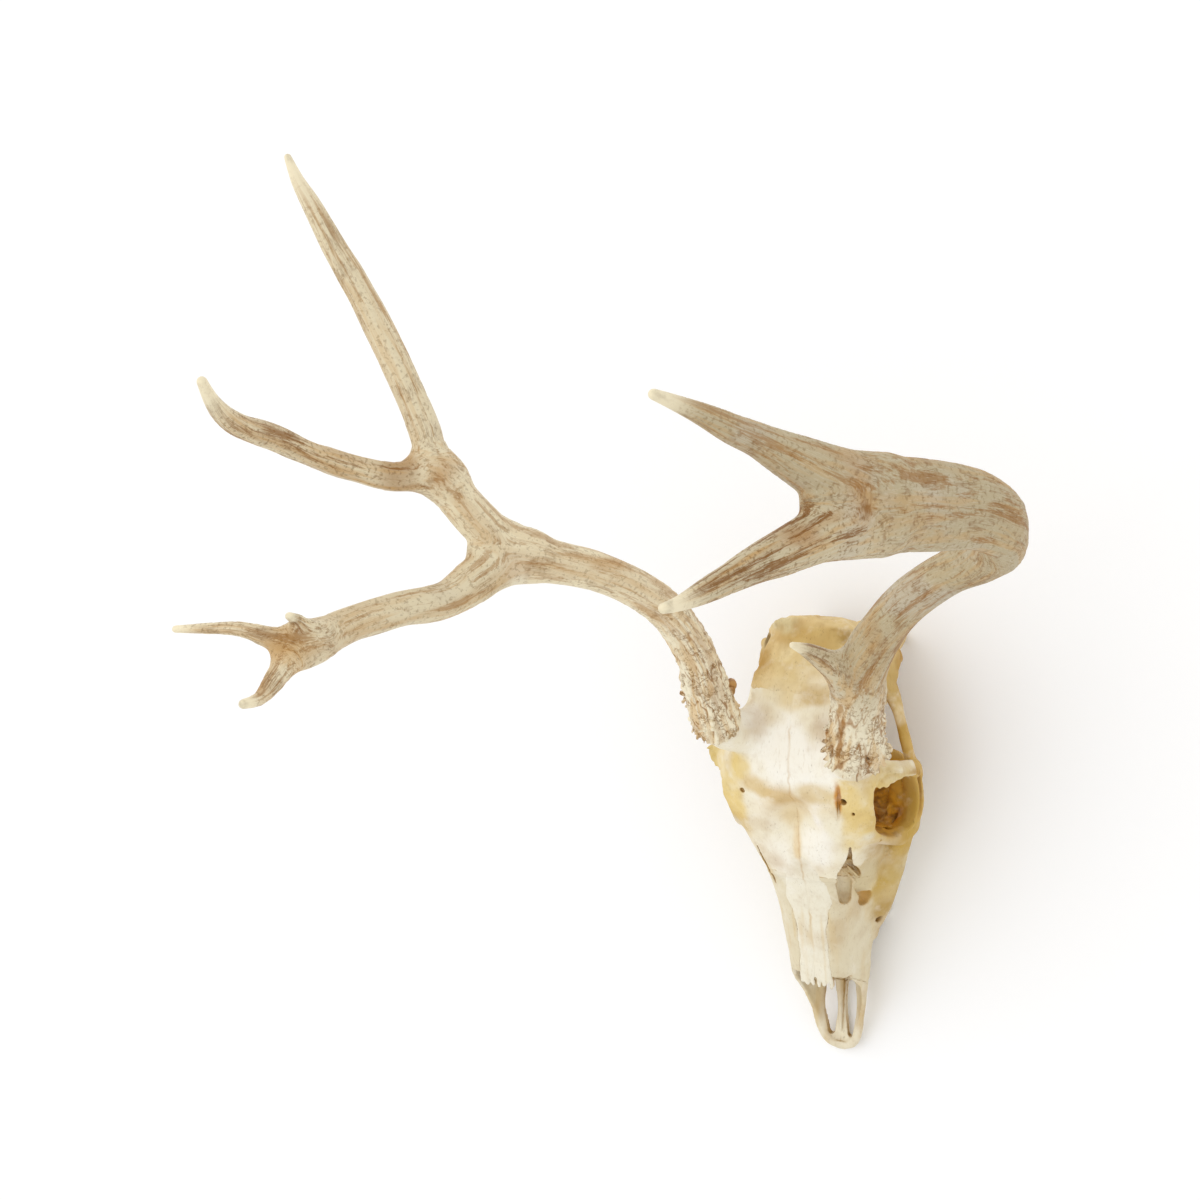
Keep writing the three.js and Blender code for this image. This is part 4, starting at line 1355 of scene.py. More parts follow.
@dataclass(frozen=True)
class SkullBase:
    """The underside behind the palate."""

    forms: tuple[Form, ...] = (
        Loft(((118, 24, 70, 20, 18), (152, 24, 82, 16, 19), (214, 29, 82, 13, 20))),
        Loft(((194, 27, 50, 8.6, 13), (230, 26, 52, 11, 16), (268, 27, 52, 12.6, 17))),
        Bar((
            (15.5, 164, 29, 7, 2.6), (13.5, 184, 26, 8, 1.8), (12.5, 200, 25, 7, 1.8),
            (12, 216, 29, 5, 2.2),
        )),
        Bar((
            (20, 222, 34, 5, 5), (23, 229, 27, 8, 6), (25, 238, 25, 9, 7), (26.6, 247, 29, 7.6, 6.4),
            (27, 254, 36, 5, 5),
        )),
        Bar(
            (
                (30, 254, 48, 9, 5), (29.8, 259.4, 28, 7, 3.6), (29, 262, 14, 5.2, 3.0),
                (28, 263, 5, 4.0, 2.6), (27.6, 263.2, 2.6, 3.4, 2.4),
            ),
            (0, 1, 0),
        ),
        Bar(((5, 264, 30, 5, 5), (11, 268, 31, 7.4, 6), (17, 268.6, 36, 8, 6), (19, 265, 43, 6.6, 5.4))),
        Lump((8, 214, 26), (4, 7, 3)),
        Lump((9, 248, 27.6), (4, 8, 3.4)),
    )
    brain_door: Bar = Bar((
        (0, 300, 48, 9, 10), (0, 276, 48, 9, 10), (0, 262, 51, 11, 13), (0, 240, 66, 24, 24),
    ))
    ear: Rows = ((48, 250, 46, 2.4, 2.4), (34, 246, 42, 2.4, 2.4))
    foramina: tuple[Rows, ...] = (
        ((19, 231, 22, 1.8, 2.8), (17.6, 233, 36, 1.6, 2.2)),
        ((22, 214, 28, 1.8, 2.4), (21, 216, 42, 1.6, 2)),
        ((20, 258, 26, 1.8, 2.6), (18, 257, 38, 1.6, 2)),
        ((11, 158, 12, 1.6, 1.6), (11.4, 161, 25, 1.4, 1.4)),
    )

    def model(self, clay: Clay) -> None:
        """Adds the underside to the clay."""
        for form in self.forms:
            clay.add(form, 3.0)

    def hollow(self, clay: Clay) -> None:
        """Opens the foramen magnum with the room behind it, the ear and the foramina of the base.

        Args:
            clay: The left half of the skull, changed in place.
        """
        clay.cut(self.brain_door, 1.4)
        clay.cut(Bar(self.ear), 0.8)
        for rows in self.foramina:
            clay.cut(Bar(rows, (1, 0, 0)), 0.8)


@dataclass(frozen=True)
class ToothRow:
    """The six cheek teeth of one side, worn flat. A row is the place, the length and the breadth."""

    teeth: Rows = (
        (92.6, 22.8, 9.4, 7.8), (103.2, 24.2, 10.4, 9.6), (114.2, 25.8, 10.6, 11), (127, 27.2, 14, 13),
        (142.6, 28, 16, 13.8), (158.8, 27.6, 15.6, 12.8),
    )
    crown: float = 17.0
    taper: float = 1.3
    first_molar: int = 3

    def pillars(self) -> list[tuple[float, float, float, float, bool]]:
        """The pillars of all crowns, one to a premolar and two to a molar.

        Returns:
            For each pillar, its place across and along, the length and breadth of its tooth, and
            whether it is one of two.
        """
        found = []
        for number, (y, x, length, breadth) in enumerate(self.teeth):
            paired = number >= self.first_molar
            for lobe in (-0.25, 0.25) if paired else (0.0,):
                found.append((x, y + lobe * length, length, breadth, paired))
        return found

    def model(self, clay: Clay) -> None:
        """Adds the pillars of the crowns, each with its rib.

        Args:
            clay: The left half of the skull, changed in place.
        """
        for x, middle, length, breadth, paired in self.pillars():
            long = length * (0.27 if paired else 0.47)
            pillar = (
                (x, middle, -3.0, breadth / 2, long),
                (x, middle, 6.0, breadth / 2 + self.taper * 0.4, long + 0.2),
                (x, middle, self.crown, breadth / 2 + self.taper, long + 0.4),
            )
            clay.add(Bar(pillar, (1, 0, 0)), 0.9)
            out, along = x + breadth / 2 + 0.2, middle + 0.1 * length
            rib = tuple((out, along, z, 1.1, 1.3) for z in (-1.0, 7.0, 13.0))
            clay.add(Bar(rib, (1, 0, 0)), 0.8)

    def wear(self, clay: Clay) -> None:
        """Sinks the crescents of the worn faces a little and grinds all crowns to one level.

        Args:
            clay: The left half of the skull, changed in place.
        """
        for x, middle, length, breadth, paired in self.pillars():
            long = length * (0.15 if paired else 0.26)
            for side, bow in ((0.17, 1.0), (-0.17, -1.0)):
                mid_x = x + side * breadth
                moon = (
                    (mid_x - bow * 0.5, middle - long, -0.1, 0.7, 0.9),
                    (mid_x + bow * 1.0, middle, -0.1, 0.9, 1.1),
                    (mid_x - bow * 0.5, middle + long, -0.1, 0.7, 0.9),
                )
                clay.cut(Bar(moon, (1, 0, 0), 2.0), 0.3)
        clay.block[:] = np.maximum(clay.block, -clay.axes[2][None, None, :])


@dataclass(frozen=True)
class Pedicle:
    """The short horn of bone that carries an antler."""

    seat: Triple
    axis: Triple
    foot: Triple
    radius: float

    def model(self, clay: Clay) -> None:
        """Adds the pedicle to the clay, cut off flat where the antler starts.

        Args:
            clay: The whole skull, changed in place.
        """
        up = unit(np.array(self.axis))
        top = np.array(self.seat)
        foot, neck, head = np.array(self.foot), top - 7 * up, top + 6 * up
        places = [(foot, self.radius + 2.4), (neck, self.radius + 0.6), (head, self.radius)]
        stem = Bar(tuple((*place, size, size) for place, size in places), (0, 1, 0))
        low, high = stem.reach()
        cut = window(clay.axes, low - 12, high + 12)
        local = [axis[part] for axis, part in zip(clay.axes, cut)]
        x, y, z = spread(local)
        beyond = x * up[0] + y * up[1] + z * up[2] - float(up @ top) + SUTURE
        stump = np.maximum(stem.sample(local), beyond.astype(np.float32))
        clay.block[cut] = low_blend(clay.block[cut], stump, 7.0)
        by_seat = self.near(local, top) < self.radius + 8
        clay.block[cut] = np.where(by_seat, np.maximum(clay.block[cut], beyond), clay.block[cut])

    @staticmethod
    def near(axes: list[np.ndarray], place: np.ndarray) -> np.ndarray:
        """Distance of each place of a lattice from one place."""
        x, y, z = spread(axes)
        return np.sqrt((x - place[0]) ** 2 + (y - place[1]) ** 2 + (z - place[2]) ** 2)


PEDICLE_LEFT = Pedicle((44, 213, 123), (0.26, 0.52, 0.81), (31, 207, 96), 13.6)
PEDICLE_RIGHT = Pedicle((-37.6, 219.4, 123), (-0.2, 0.54, 0.81), (-25, 214, 96), 11.2)


@dataclass(frozen=True)
class BoneRegion:
    """Where one pair of bones lies: an outline from the side or from above, and how far out it starts."""

    name: str
    side: Rows = ()
    plan: Rows = ()
    from_middle: float = 0.0
    serrated: float = 0.5  # how far the suture wanders
    gap: float = SUTURE  # clear width of the suture
    grown_from: float = 400.0  # how far from the nose the suture has grown together

    def sample(self, axes: list[np.ndarray], wander: np.ndarray) -> np.ndarray:
        """Distances from the region on a lattice, negative inside.

        Args:
            axes: The places of a lattice along each axis.
            wander: Noise that the suture follows.

        Returns:
            One distance for each place.
        """
        x, y, z = axes
        block = np.full((1, 1, 1), -FAR, np.float32)
        if self.side:
            block = np.maximum(block, outline_distance(self.side, y[:, None], z[None, :])[None])
        if self.plan:
            above = outline_distance(self.plan, np.abs(x)[:, None], y[None, :])
            block = np.maximum(block, above[:, :, None])
        if self.from_middle:
            block = np.maximum(block, self.from_middle - np.abs(x)[:, None, None])
        return block + self.serrated * wander

    def clearance(self, axes: list[np.ndarray]) -> np.ndarray:
        """The clear width of the suture on a lattice."""
        grown = soft_step(self.grown_from - 4, self.grown_from + 4, axes[1])
        return (self.gap + (GROWN - self.gap) * grown)[None, :, None].astype(np.float32)


REGIONS = (
    BoneRegion(
        "nasal",
        (
            (40, 43.5), (49, 46.2), (60, 49.2), (80, 54.6), (104, 60), (120, 69), (141, 80), (141, 130),
            (40, 130),
        ),
        (
            (-9, 40), (10.4, 40), (10.2, 58), (9.2, 74), (9.4, 92), (11.4, 103), (14.4, 110), (12.8, 122),
            (5, 138), (0, 141), (-9, 141),
        ),
        serrated=0.35, grown_from=112.0,
    ),
    BoneRegion(
        "premaxilla",
        ((-20, -20), (42.5, -20), (46, 8), (50, 22), (56, 36), (60.5, 49), (62, 80), (-20, 80)),
    ),
    BoneRegion(
        "frontal",
        (
            (127.6, 74), (146, 74), (158, 80), (174, 80), (190, 74), (207, 72), (214, 86), (238, 88),
            (243, 160), (127.6, 160),
        ),
        serrated=0.9, gap=GROWN,
    ),
    BoneRegion(
        "zygomatic",
        ((142, 32), (211, 48), (203, 66), (206, 73), (186, 73), (158, 58), (144, 51)),
        from_middle=39.0, gap=GROWN,
    ),
    BoneRegion(
        "lacrimal",
        ((127, 54), (140, 50.5), (166, 50.5), (166, 84), (128, 84)),
        from_middle=24.0, gap=-0.8,
    ),
    BoneRegion(
        "maxilla",
        ((40, -10), (182, -10), (182, 30), (168, 46), (128, 62), (128, 90), (40, 90)),
        serrated=0.4,
    ),
)

BONE_TONES = {
    "nasal": (236, 229, 208), "premaxilla": (226, 215, 188), "frontal": (240, 231, 206),
    "zygomatic": (208, 172, 98), "lacrimal": (214, 196, 156), "maxilla": (222, 210, 180),
    "braincase": (222, 196, 142),
}

# Stains of the bone, with some patches of painted light and painted shade among them.
STAINS_AND_PAINTED_LIGHT = (
    ColourCloud((0, 16, 6), (20, 16, 8), (236, 226, 200), 0.7),
    ColourCloud((17, 36, 16), (7, 30, 16), (214, 194, 150), 0.75, True),
    ColourCloud((0, 198, 112), (36, 30, 30), (250, 246, 234)),
    ColourCloud((-16, 176, 106), (18, 22, 24), (246, 239, 222), 0.8),
    ColourCloud((10, 148, 92), (12, 24, 20), (248, 243, 230), 0.95),
    ColourCloud((-13, 138, 86), (12, 26, 20), (246, 240, 224), 0.9),
    ColourCloud((0, 172, 100), (40, 13, 18), (234, 216, 180), 0.7),
    ColourCloud((-24, 183, 107), (16, 9, 12), (221, 195, 143), 0.95),
    ColourCloud((-3, 178, 105), (13, 11, 14), (220, 192, 140), 0.9),
    ColourCloud((12, 183, 108), (16, 7, 12), (221, 198, 150), 0.8),
    ColourCloud((-2, 164, 99), (9, 11, 14), (228, 206, 160), 0.8),
    ColourCloud((14, 165, 98), (7, 12, 12), (246, 240, 230), 0.9),
    ColourCloud((-33, 194, 106), (11, 14, 12), (227, 200, 126), 0.9),
    ColourCloud((-43, 176, 101), (14, 28, 16), (226, 202, 138), 0.9),
    ColourCloud((-1, 148, 90), (3.4, 18, 12), (232, 204, 154), 0.7),
    ColourCloud((48, 177, 90), (22, 38, 26), (228, 202, 134), 0.95, True),
    ColourCloud((54, 170, 92), (9, 14, 12), (214, 178, 96), 0.6, True),
    ColourCloud((35, 172, 102), (8, 22, 16), (232, 206, 140), 0.9, True),
    ColourCloud((58, 174, 58), (10, 30, 16), (198, 162, 76), 0.95, True),
    ColourCloud((56, 195, 84), (15, 12, 22), (210, 184, 112), 0.9, True),
    ColourCloud((52, 148, 46), (20, 34, 22), (196, 162, 82), 0.95, True),
    ColourCloud((44, 122, 42), (14, 22, 20), (196, 166, 92), 0.9, True),
    ColourCloud((35, 109, 42), (11, 20, 20), (194, 160, 78), 0.85, True),
    ColourCloud((34, 100, 34), (10, 12, 12), (176, 140, 66), 0.8, True),
    ColourCloud((42, 142, 72), (13, 13, 13), (212, 194, 156), 0.85, True),
    # Painted light on the upward-facing flat of the lacrimal.
    ColourCloud((42, 151, 73), (6, 4.6, 6), (230, 218, 192), 0.85, True),
    ColourCloud((46, 157, 66), (8, 5, 12), (180, 146, 76), 0.7, True),
    ColourCloud((41, 157, 87), (5, 4, 5), (232, 224, 200), 0.8, True),
    ColourCloud((28.4, 180, 104), (1.9, 13, 6), (200, 136, 48), 0.95),
    # Tan floor of the gap before the eye, lightened as painted light against the shade of the recess.
    ColourCloud((25, 130, 74), (8, 17, 9), (216, 192, 144), 0.95, True),
    ColourCloud((20, 117, 67), (3.4, 8, 6), (226, 214, 186), 0.9, True),
    ColourCloud((29, 121, 64), (5, 9, 7), (216, 196, 150), 0.8, True),
    ColourCloud((26, 111, 50), (6, 6, 7), (222, 176, 92), 0.95, True),
    ColourCloud((34, 118, 58), (10, 12, 10), (224, 206, 160), 0.8, True),
    ColourCloud((56, 208, 58), (14, 44, 18), (204, 168, 92), 0.95, True),
    ColourCloud((44, 214, 70), (12, 30, 24), (176, 136, 56), 0.85, True),
    ColourCloud((0, 241, 107), (34, 11, 20), (228, 208, 162), 0.95),
    ColourCloud((13, 239, 106), (9, 9, 10), (208, 182, 132), 0.85),
    ColourCloud((-14, 236, 106), (8, 6, 10), (236, 224, 192), 0.8),
    ColourCloud((-6, 256, 101), (26, 12, 22), (218, 194, 140), 0.8),
    ColourCloud((-11, 262, 96), (7, 10, 10), (234, 216, 168), 0.8),
    ColourCloud((8, 270, 94), (30, 8, 14), (204, 174, 108), 0.8),
    ColourCloud((-14, 275, 86), (16, 6, 12), (208, 192, 148), 0.8),
    ColourCloud((24, 271, 89), (7, 7, 8), (150, 114, 42), 0.85),
    # Painted shade on the right side wall of the braincase.
    ColourCloud((-31, 262, 76), (8, 12, 16), (124, 98, 44), 0.95),
    # Painted light: near-white patches behind the pedicles, over the shade that the antlers cast.
    ColourCloud((-22, 222, 110), (12, 12, 14), (247, 243, 230), 0.9),
    ColourCloud((20, 224, 110), (10, 10, 14), (238, 230, 212), 0.85),
    # Painted shade on both side walls of the braincase behind the temples.
    ColourCloud((43, 248, 84), (9, 30, 20), (150, 120, 60), 0.9, True),
    ColourCloud((30, 252, 98), (6, 20, 10), (186, 150, 80), 0.7, True),
    ColourCloud((40, 240, 56), (16, 30, 24), (190, 158, 92), 0.8, True),
    ColourCloud((28, 130, 62), (14, 18, 14), (206, 190, 152), 0.7, True),
    ColourCloud((24, 120, 22), (22, 52, 16), (206, 182, 132), 0.7, True),
    ColourCloud((0, 230, 30), (30, 50, 18), (204, 178, 122), 0.9),
)


@dataclass
class Skull:
    """The whole skull, modelled as one mass and parted into its bones."""

    step: float = SKULL_STEP
    snout: Snout = field(default_factory=Snout)
    face: Face = field(default_factory=Face)
    orbit: Orbit = field(default_factory=Orbit)
    vault: Vault = field(default_factory=Vault)
    arch: CheekArch = field(default_factory=CheekArch)
    base: SkullBase = field(default_factory=SkullBase)
    teeth: ToothRow = field(default_factory=ToothRow)

    def mass(self) -> Clay:
        """Models the left half of the skull, doubles it, and sets both pedicles.

        Returns:
            The clay of the whole skull.
        """
        half = Clay((0.0, -4.0, -2.0), (64.0, 286.0, 136.0), self.step)
        for part in (self.snout, self.face, self.vault, self.arch, self.orbit, self.base):
            part.model(half)
        for part in (self.face, self.vault):
            part.shape(half)
        self.teeth.model(half)
        for part in (self.snout, self.orbit, self.base):
            part.hollow(half)
        self.snout.furnish(half)
        self.face.furnish(half)
        self.face.hollow(half)
        self.teeth.wear(half)
        whole = half.mirrored()
        self.face.open_gaps(whole)
        self.vault.groove(whole)
        for pedicle in (PEDICLE_LEFT, PEDICLE_RIGHT):
            pedicle.model(whole)
        self.weather(whole)
        return whole

    def weather(self, clay: Clay) -> None:
        """Roughens the crest, frays the eye's upper edge and breaks up the tips of the nasal bones.

        Args:
            clay: The whole skull, changed in place.
        """
        x, y, z = spread(clay.axes)
        fine = Noise(11).block(clay.axes, 3.1)
        coarse = Noise(12).block(clay.axes, 7.5)
        crest = np.exp(-(((y - 278) / 12) ** 2) - ((z - 86) / 14) ** 2)
        brow = np.exp(-(((np.abs(x) - 54) / 8) ** 2) - ((y - 178) / 18) ** 2 - ((z - 93) / 9) ** 2)
        tips = np.exp(-(((y - 54) / 4) ** 2) - ((z - 52) / 8) ** 2)
        socket = np.exp(-(((np.abs(x) - 38) / 11) ** 2) - ((y - 172) / 15) ** 2 - ((z - 47) / 9) ** 2)
        rough = crest * (0.9 * fine + 1.2 * coarse) + brow * (1.0 * fine + 1.8 * coarse)
        clay.block += rough + tips * 1.2 * fine
        clay.block += socket * (1.3 * fine + 1.9 * coarse)

    def bones(self, clay: Clay) -> dict[str, Skin]:
        """Parts the mass along its sutures.

        Args:
            clay: The whole mass.

        Returns:
            The skin of each bone under the name of its node.
        """
        wander = Noise(21).block(clay.axes, 2.3) + 0.8 * Noise(22).block(clay.axes, 5.5)
        left_over = clay.block.copy()
        skins = {}
        middle = clay.axes[0][:, None, None]
        for region in REGIONS:
            place = region.sample(clay.axes, wander)
            gap = region.clearance(clay.axes) / 2
            bone = np.maximum(left_over, place + gap)
            left_over = np.maximum(left_over, gap - place)
            for side, name in ((1, "left"), (-1, "right")):
                half = np.maximum(bone, GROWN / 2 - side * (middle + 0.3 * wander))
                skins[f"{region.name}_{name}"] = self._body(clay, half)
        skins["braincase"] = self._body(clay, left_over)
        return skins

    @staticmethod
    def _body(clay: Clay, block: np.ndarray) -> Skin:
        """The biggest body in a block of distances.

        Args:
            clay: The clay whose lattice the block is on.
            block: The distances.

        Returns:
            The skin of that body.
        """
        solid = block < clay.step
        spans = []
        for axis in range(3):
            hit = np.flatnonzero(solid.any(axis=tuple(k for k in range(3) if k != axis)))
            spans.append(slice(max(hit[0] - 2, 0), hit[-1] + 3))
        corner = tuple(span.start for span in spans)
        return clay.surface(block[tuple(spans)], corner).biggest()

    def crowding(self, clay: Clay, points: np.ndarray, normals: np.ndarray) -> np.ndarray:
        """How much bone stands round each point, from 0 in the open to 1 in a deep hollow.

        Args:
            clay: The whole mass.
            points: Places on its surface.
            normals: Outward directions there.

        Returns:
            One value for each point.
        """
        total = np.zeros(len(points), np.float32)
        reaches = (3.0, 7.0, 13.0)
        for reach in reaches:
            at = points + normals * reach
            index = [
                np.clip(np.rint((at[:, k] - axis[0]) / clay.step).astype(int), 0, len(axis) - 1)
                for k, axis in enumerate(clay.axes)
            ]
            gap = clay.block[tuple(index)]
            total += np.clip(1 - gap / min(reach, FAR), 0, 1.4)
        return np.clip(total / len(reaches), 0, 1)

    def dress(self, name: str, skin: Skin, clay: Clay) -> None:
        """Gives a bone its fine relief and the tones of its stains, with painted shade in its hollows and
        some patches of painted light.

        Args:
            name: What kind of bone it is.
            skin: Its skin, changed in place.
            clay: The whole mass.
        """
        normals = skin.normals()
        points = skin.points
        relief = 0.16 * Noise(31).layered(points, 6.0, 3) + 0.30 * Noise(32).at(points, 16.0)
        crowd = self.crowding(clay, points, normals)
        ragged = Noise(33).layered(points, 15.0, 4)
        tone = np.tile(tint(*BONE_TONES[name]), (len(points), 1))
        for colour_cloud in STAINS_AND_PAINTED_LIGHT:
            tone = colour_cloud.lay(tone, points, ragged)
        inside = self.socket_depth(points)
        # Ochre stain and painted shade in the hollows: the more bone crowds round a point, the more ochre.
        deep = soft_step(0.34, 0.95, crowd + 0.10 * ragged)
        tone = washed(tone, tint(184, 142, 70), 0.85 * deep)
        spotted = Noise(34).layered(points, 5.0, 3)
        deep_ochre = washed(tint(226, 166, 36), tint(160, 104, 18), soft_step(-0.2, 0.9, spotted))
        tone = washed(tone, deep_ochre, inside * np.clip(0.85 + 0.3 * ragged, 0, 1))
        cloudy = Noise(35).layered(points, 22.0, 4)
        mottled = 0.9 if name == "braincase" else 0.34
        tone = washed(tone, tint(176, 132, 56), mottled * soft_step(-0.1, 1.0, cloudy))
        tone = washed(tone, tint(246, 238, 216), 0.5 * mottled * soft_step(-0.2, -1.0, cloudy))
        streaks = Noise(36).at(points, (2.3, 46.0, 7.0)) * soft_step(118, 96, points[:, 1])
        tone = washed(tone, tint(214, 186, 132), 0.4 * soft_step(0.15, 0.9, streaks))
        off_middle = np.abs(points[:, 0] + 0.8 * Noise(37).at(points, 3.2))
        seam = (1 - soft_step(0.2, 0.9, off_middle)) * soft_step(66, 76, points[:, 1]) * (points[:, 2] > 50)
        seam *= (points[:, 1] < 240) * np.clip(0.55 + Noise(38).at(points, 9.0), 0, 1)
        tone = washed(tone, tint(200, 160, 100), 0.4 * seam)
        tooth = 1 - soft_step(11.0, 13.5, points[:, 2])
        tooth *= (points[:, 1] > 84) & (points[:, 1] < 170)
        tone = washed(tone, tint(226, 222, 210), 0.8 * tooth)
        # Painted shade in the hollows, from the crowding, plus the worn faces of the teeth; the finish
        # darkens both.
        worn = soft_step(0.55, 1.0, crowd) * 0.7 + tooth * (1 - soft_step(0.0, 0.9, points[:, 2]))
        skin.points = points + normals * relief[:, None] * (points[:, 2:] > 1.0)
        skin.values = {"tone": np.clip(tone, 0, 1), "worn": np.clip(worn, 0, 1)}

    @staticmethod
    def socket_depth(points: np.ndarray) -> np.ndarray:
        """How deep in the eye socket each point lies, from 0 at its mouth to 1.

        Args:
            points: Places on the skull.

        Returns:
            One value for each point.
        """
        out = np.abs(points[:, 0])
        across = np.hypot(points[:, 1] - 176, (points[:, 2] - 62) * 0.9)
        return soft_step(54, 43, out) * soft_step(26, 21, across) * (out > 14)

    def build(self) -> list[tuple[str, str, bpy.types.Object]]:
        """Builds all bones.

        Returns:
            For each bone, its node, its slot and its object.
        """
        slots = {"zygomatic": "bone_stained", "lacrimal": "bone_stained", "braincase": "bone_stained"}
        finishes = {
            "bone_white": BoneFinish("bone_white").make(),
            "bone_stained": BoneFinish("bone_stained", pores=0.5, rough=0.56).make(),
        }
        clay = self.mass()
        made = []
        for node, skin in self.bones(clay).items():
            self.dress(node.split("_")[0], skin, clay)
            slot = slots.get(node.split("_")[0], "bone_white")
            piece = make_piece(node + "_bone", skin)
            piece.data.materials.append(finishes[slot])
            made.append((node, slot, piece))
        return made


# ---------------------------------------------------------------------------------------------
# The antlers

GIRTH = 11.0  # radius that the grain of every branch is wound on, mm
BASE_REACH = 40.0  # how far from its seat the base of an antler is cut flat, mm
CROWD = 20000  # points surveyed at a time
PALM_PLANE = (0.0, 1.0, 0.1)
RIGHT_FORK_PLANE = (-0.2, 0.9, -0.45)
UPPER_FORK_PLANE = (0.1, 0.6, -0.8)
FRONT_FORK_PLANE = (-0.5, 0.86, 0.1)


@dataclass(frozen=True)
class Branch:
    """One branch of an antler, with how far along the antler it starts."""

    node: str
    line: Bar
    start: float
    dark: float = 0.5  # how brown its furrows are
    grey: float = 0.0  # how grey its ridges are
    free: bool = True  # whether it ends in a point


@dataclass
class Antler:
    """An antler from its burr to its tips."""

    pedicle: Pedicle
    branches: tuple[Branch, ...]
    low: Triple
    high: Triple
    seed: int
    coarse: float  # how far up the beam the pearls reach, mm
    step: float = ANTLER_STEP
    web: float = 9.0  # fillet in the crotches
    run_in: float = 2.4  # how softly the grain of one branch runs into the next, mm
    burr_reach: float = 4.6
    burr_rise: float = 0.0  # how far above its seat the ring of knobs lies, mm
    beads: int = 34  # knobs in the ring of the burr
    ridges: int = 22  # ridges that run up from the burr
    pearls: int = 90  # pearls just above it
    knobs: tuple[tuple[Triple, float], ...] = ()  # stunted tines: where they are and how big
    stains: tuple[ColourCloud, ...] = ()
    fills: tuple[Lump, ...] = ()  # rounded masses in the crotches

    def mass(self) -> Clay:
        """Models the antler as one mass with its burr.

        Returns:
            The clay of the antler.
        """
        clay = Clay(self.low, self.high, self.step)
        for branch in self.branches:
            clay.add(branch.line, self.web)
        for fill in self.fills:
            clay.add(fill, 5.0)
        self._burr(clay)
        return clay

    def _burr(self, clay: Clay) -> None:
        """Adds the ring of knobs at the base with its ridges and pearls, and cuts the base off flat.

        Args:
            clay: The clay of the antler, changed in place.
        """
        rng = np.random.default_rng(self.seed)
        up = unit(np.array(self.pedicle.axis))
        seat = np.array(self.pedicle.seat)
        side = unit(np.cross(up, np.array([0.0, 1.0, 0.0])))
        other = np.cross(up, side)
        first = self.branches[0].line.points[0]
        core = (first[3] + first[4]) / 2 + 0.8
        foot = (*(seat - 4 * up), core, core)
        collar = (*(seat + 5 * up), core + 1.6, core + 1.6)
        clay.add(Bar((foot, collar, first), (0, 1, 0), 4.0), 5.0)
        for k in range(self.beads):
            angle = 2 * np.pi * (k + rng.uniform(-0.3, 0.3)) / self.beads
            way = np.cos(angle) * side + np.sin(angle) * other
            out = core + self.burr_reach * rng.uniform(0.45, 1.0)
            rise = self.burr_rise + rng.uniform(2.2, 6.0)
            root = seat + way * (core - 2.0) + up * (rise + 2.5)
            knob = seat + way * out + up * (rise - rng.uniform(0.2, 1.8))
            fat = rng.uniform(0.9, 1.6)
            clay.add(Bar(((*root, fat + 0.6, fat + 0.6), (*knob, fat, fat * 0.8)), (0, 1, 0), 3.0), 0.7)
        low, high = seat + (5 + self.burr_rise) * up, np.array(first[:3])
        for k in range(self.ridges):
            angle = 2 * np.pi * (k + rng.uniform(-0.25, 0.25)) / self.ridges
            far = rng.uniform(0.35, 1.0)
            points = []
            for t in np.linspace(0, far, 6):
                turned = angle + 0.12 * np.sin(9 * t + k)
                way = np.cos(turned) * side + np.sin(turned) * other
                swell = core + 0.3 + (first[3] - core) * t + rng.uniform(-0.5, 0.3)
                size = (1.25 - 0.5 * t) * rng.uniform(0.75, 1.15)
                points.append((*(low + (high - low) * t + way * swell), size, size))
            clay.add(Bar(tuple(points), (0, 1, 0), 4.0), 0.9)
        for _ in range(self.pearls):
            angle = rng.uniform(0, 2 * np.pi)
            way = np.cos(angle) * side + np.sin(angle) * other
            rise = self.burr_rise + 5 + 20 * rng.uniform() ** 1.5
            centre = seat + way * (core + rng.uniform(-0.4, 1.0)) + up * rise
            size = rng.uniform(0.9, 1.6)
            clay.add(Lump(tuple(centre), (size, size, size * 1.2)), 0.6)
        for place, size in self.knobs:
            clay.add(Lump(place, (size, size * 1.2, size)), 1.5)
        cut = window(clay.axes, seat - BASE_REACH, seat + BASE_REACH)
        x, y, z = spread([axis[part] for axis, part in zip(clay.axes, cut)])
        below = float(up @ seat) + SUTURE - (x * up[0] + y * up[1] + z * up[2])
        clay.block[cut] = np.maximum(clay.block[cut], below)

    def survey(self, branch: Branch, points: np.ndarray) -> tuple[np.ndarray, ...]:
        """Where each point lies on one branch.

        Args:
            branch: The branch.
            points: Places on the antler.

        Returns:
            How far outside the branch each point is, its distance along the antler, its two offsets
            across the branch, and its share of the way to the tip.
        """
        rows = Bar(branch.line.points, branch.line.wide, 2.5).stations()
        run = np.linalg.norm(np.diff(rows[:, :3], axis=0), axis=1)
        travel = np.concatenate([[0.0], np.cumsum(run)])
        ways = np.gradient(rows[:, :3], axis=0)
        ways /= np.linalg.norm(ways, axis=1, keepdims=True)
        wide = np.array(branch.line.wide)
        broad = wide - ways * (ways @ wide)[:, None]
        broad /= np.linalg.norm(broad, axis=1, keepdims=True)
        thick = np.cross(ways, broad)
        outside, spot = np.zeros(len(points)), np.zeros(len(points))
        across = np.zeros((len(points), 2))
        for start in range(0, len(points), CROWD):
            part = slice(start, start + CROWD)
            here = points[part]
            gap = np.linalg.norm(here[:, None, :] - rows[None, :, :3], axis=2)
            k = (gap - rows[None, :, 3:].mean(axis=2)).argmin(axis=1)
            away = here - rows[k, :3]
            outside[part] = gap[np.arange(len(here)), k] - rows[k, 3:].max(axis=1)
            spot[part] = travel[k] + (away * ways[k]).sum(axis=1)
            across[part] = np.stack([(away * broad[k]).sum(axis=1), (away * thick[k]).sum(axis=1)], axis=1)
        return outside, branch.start + spot, across, np.clip(spot / travel[-1], 0, 1)

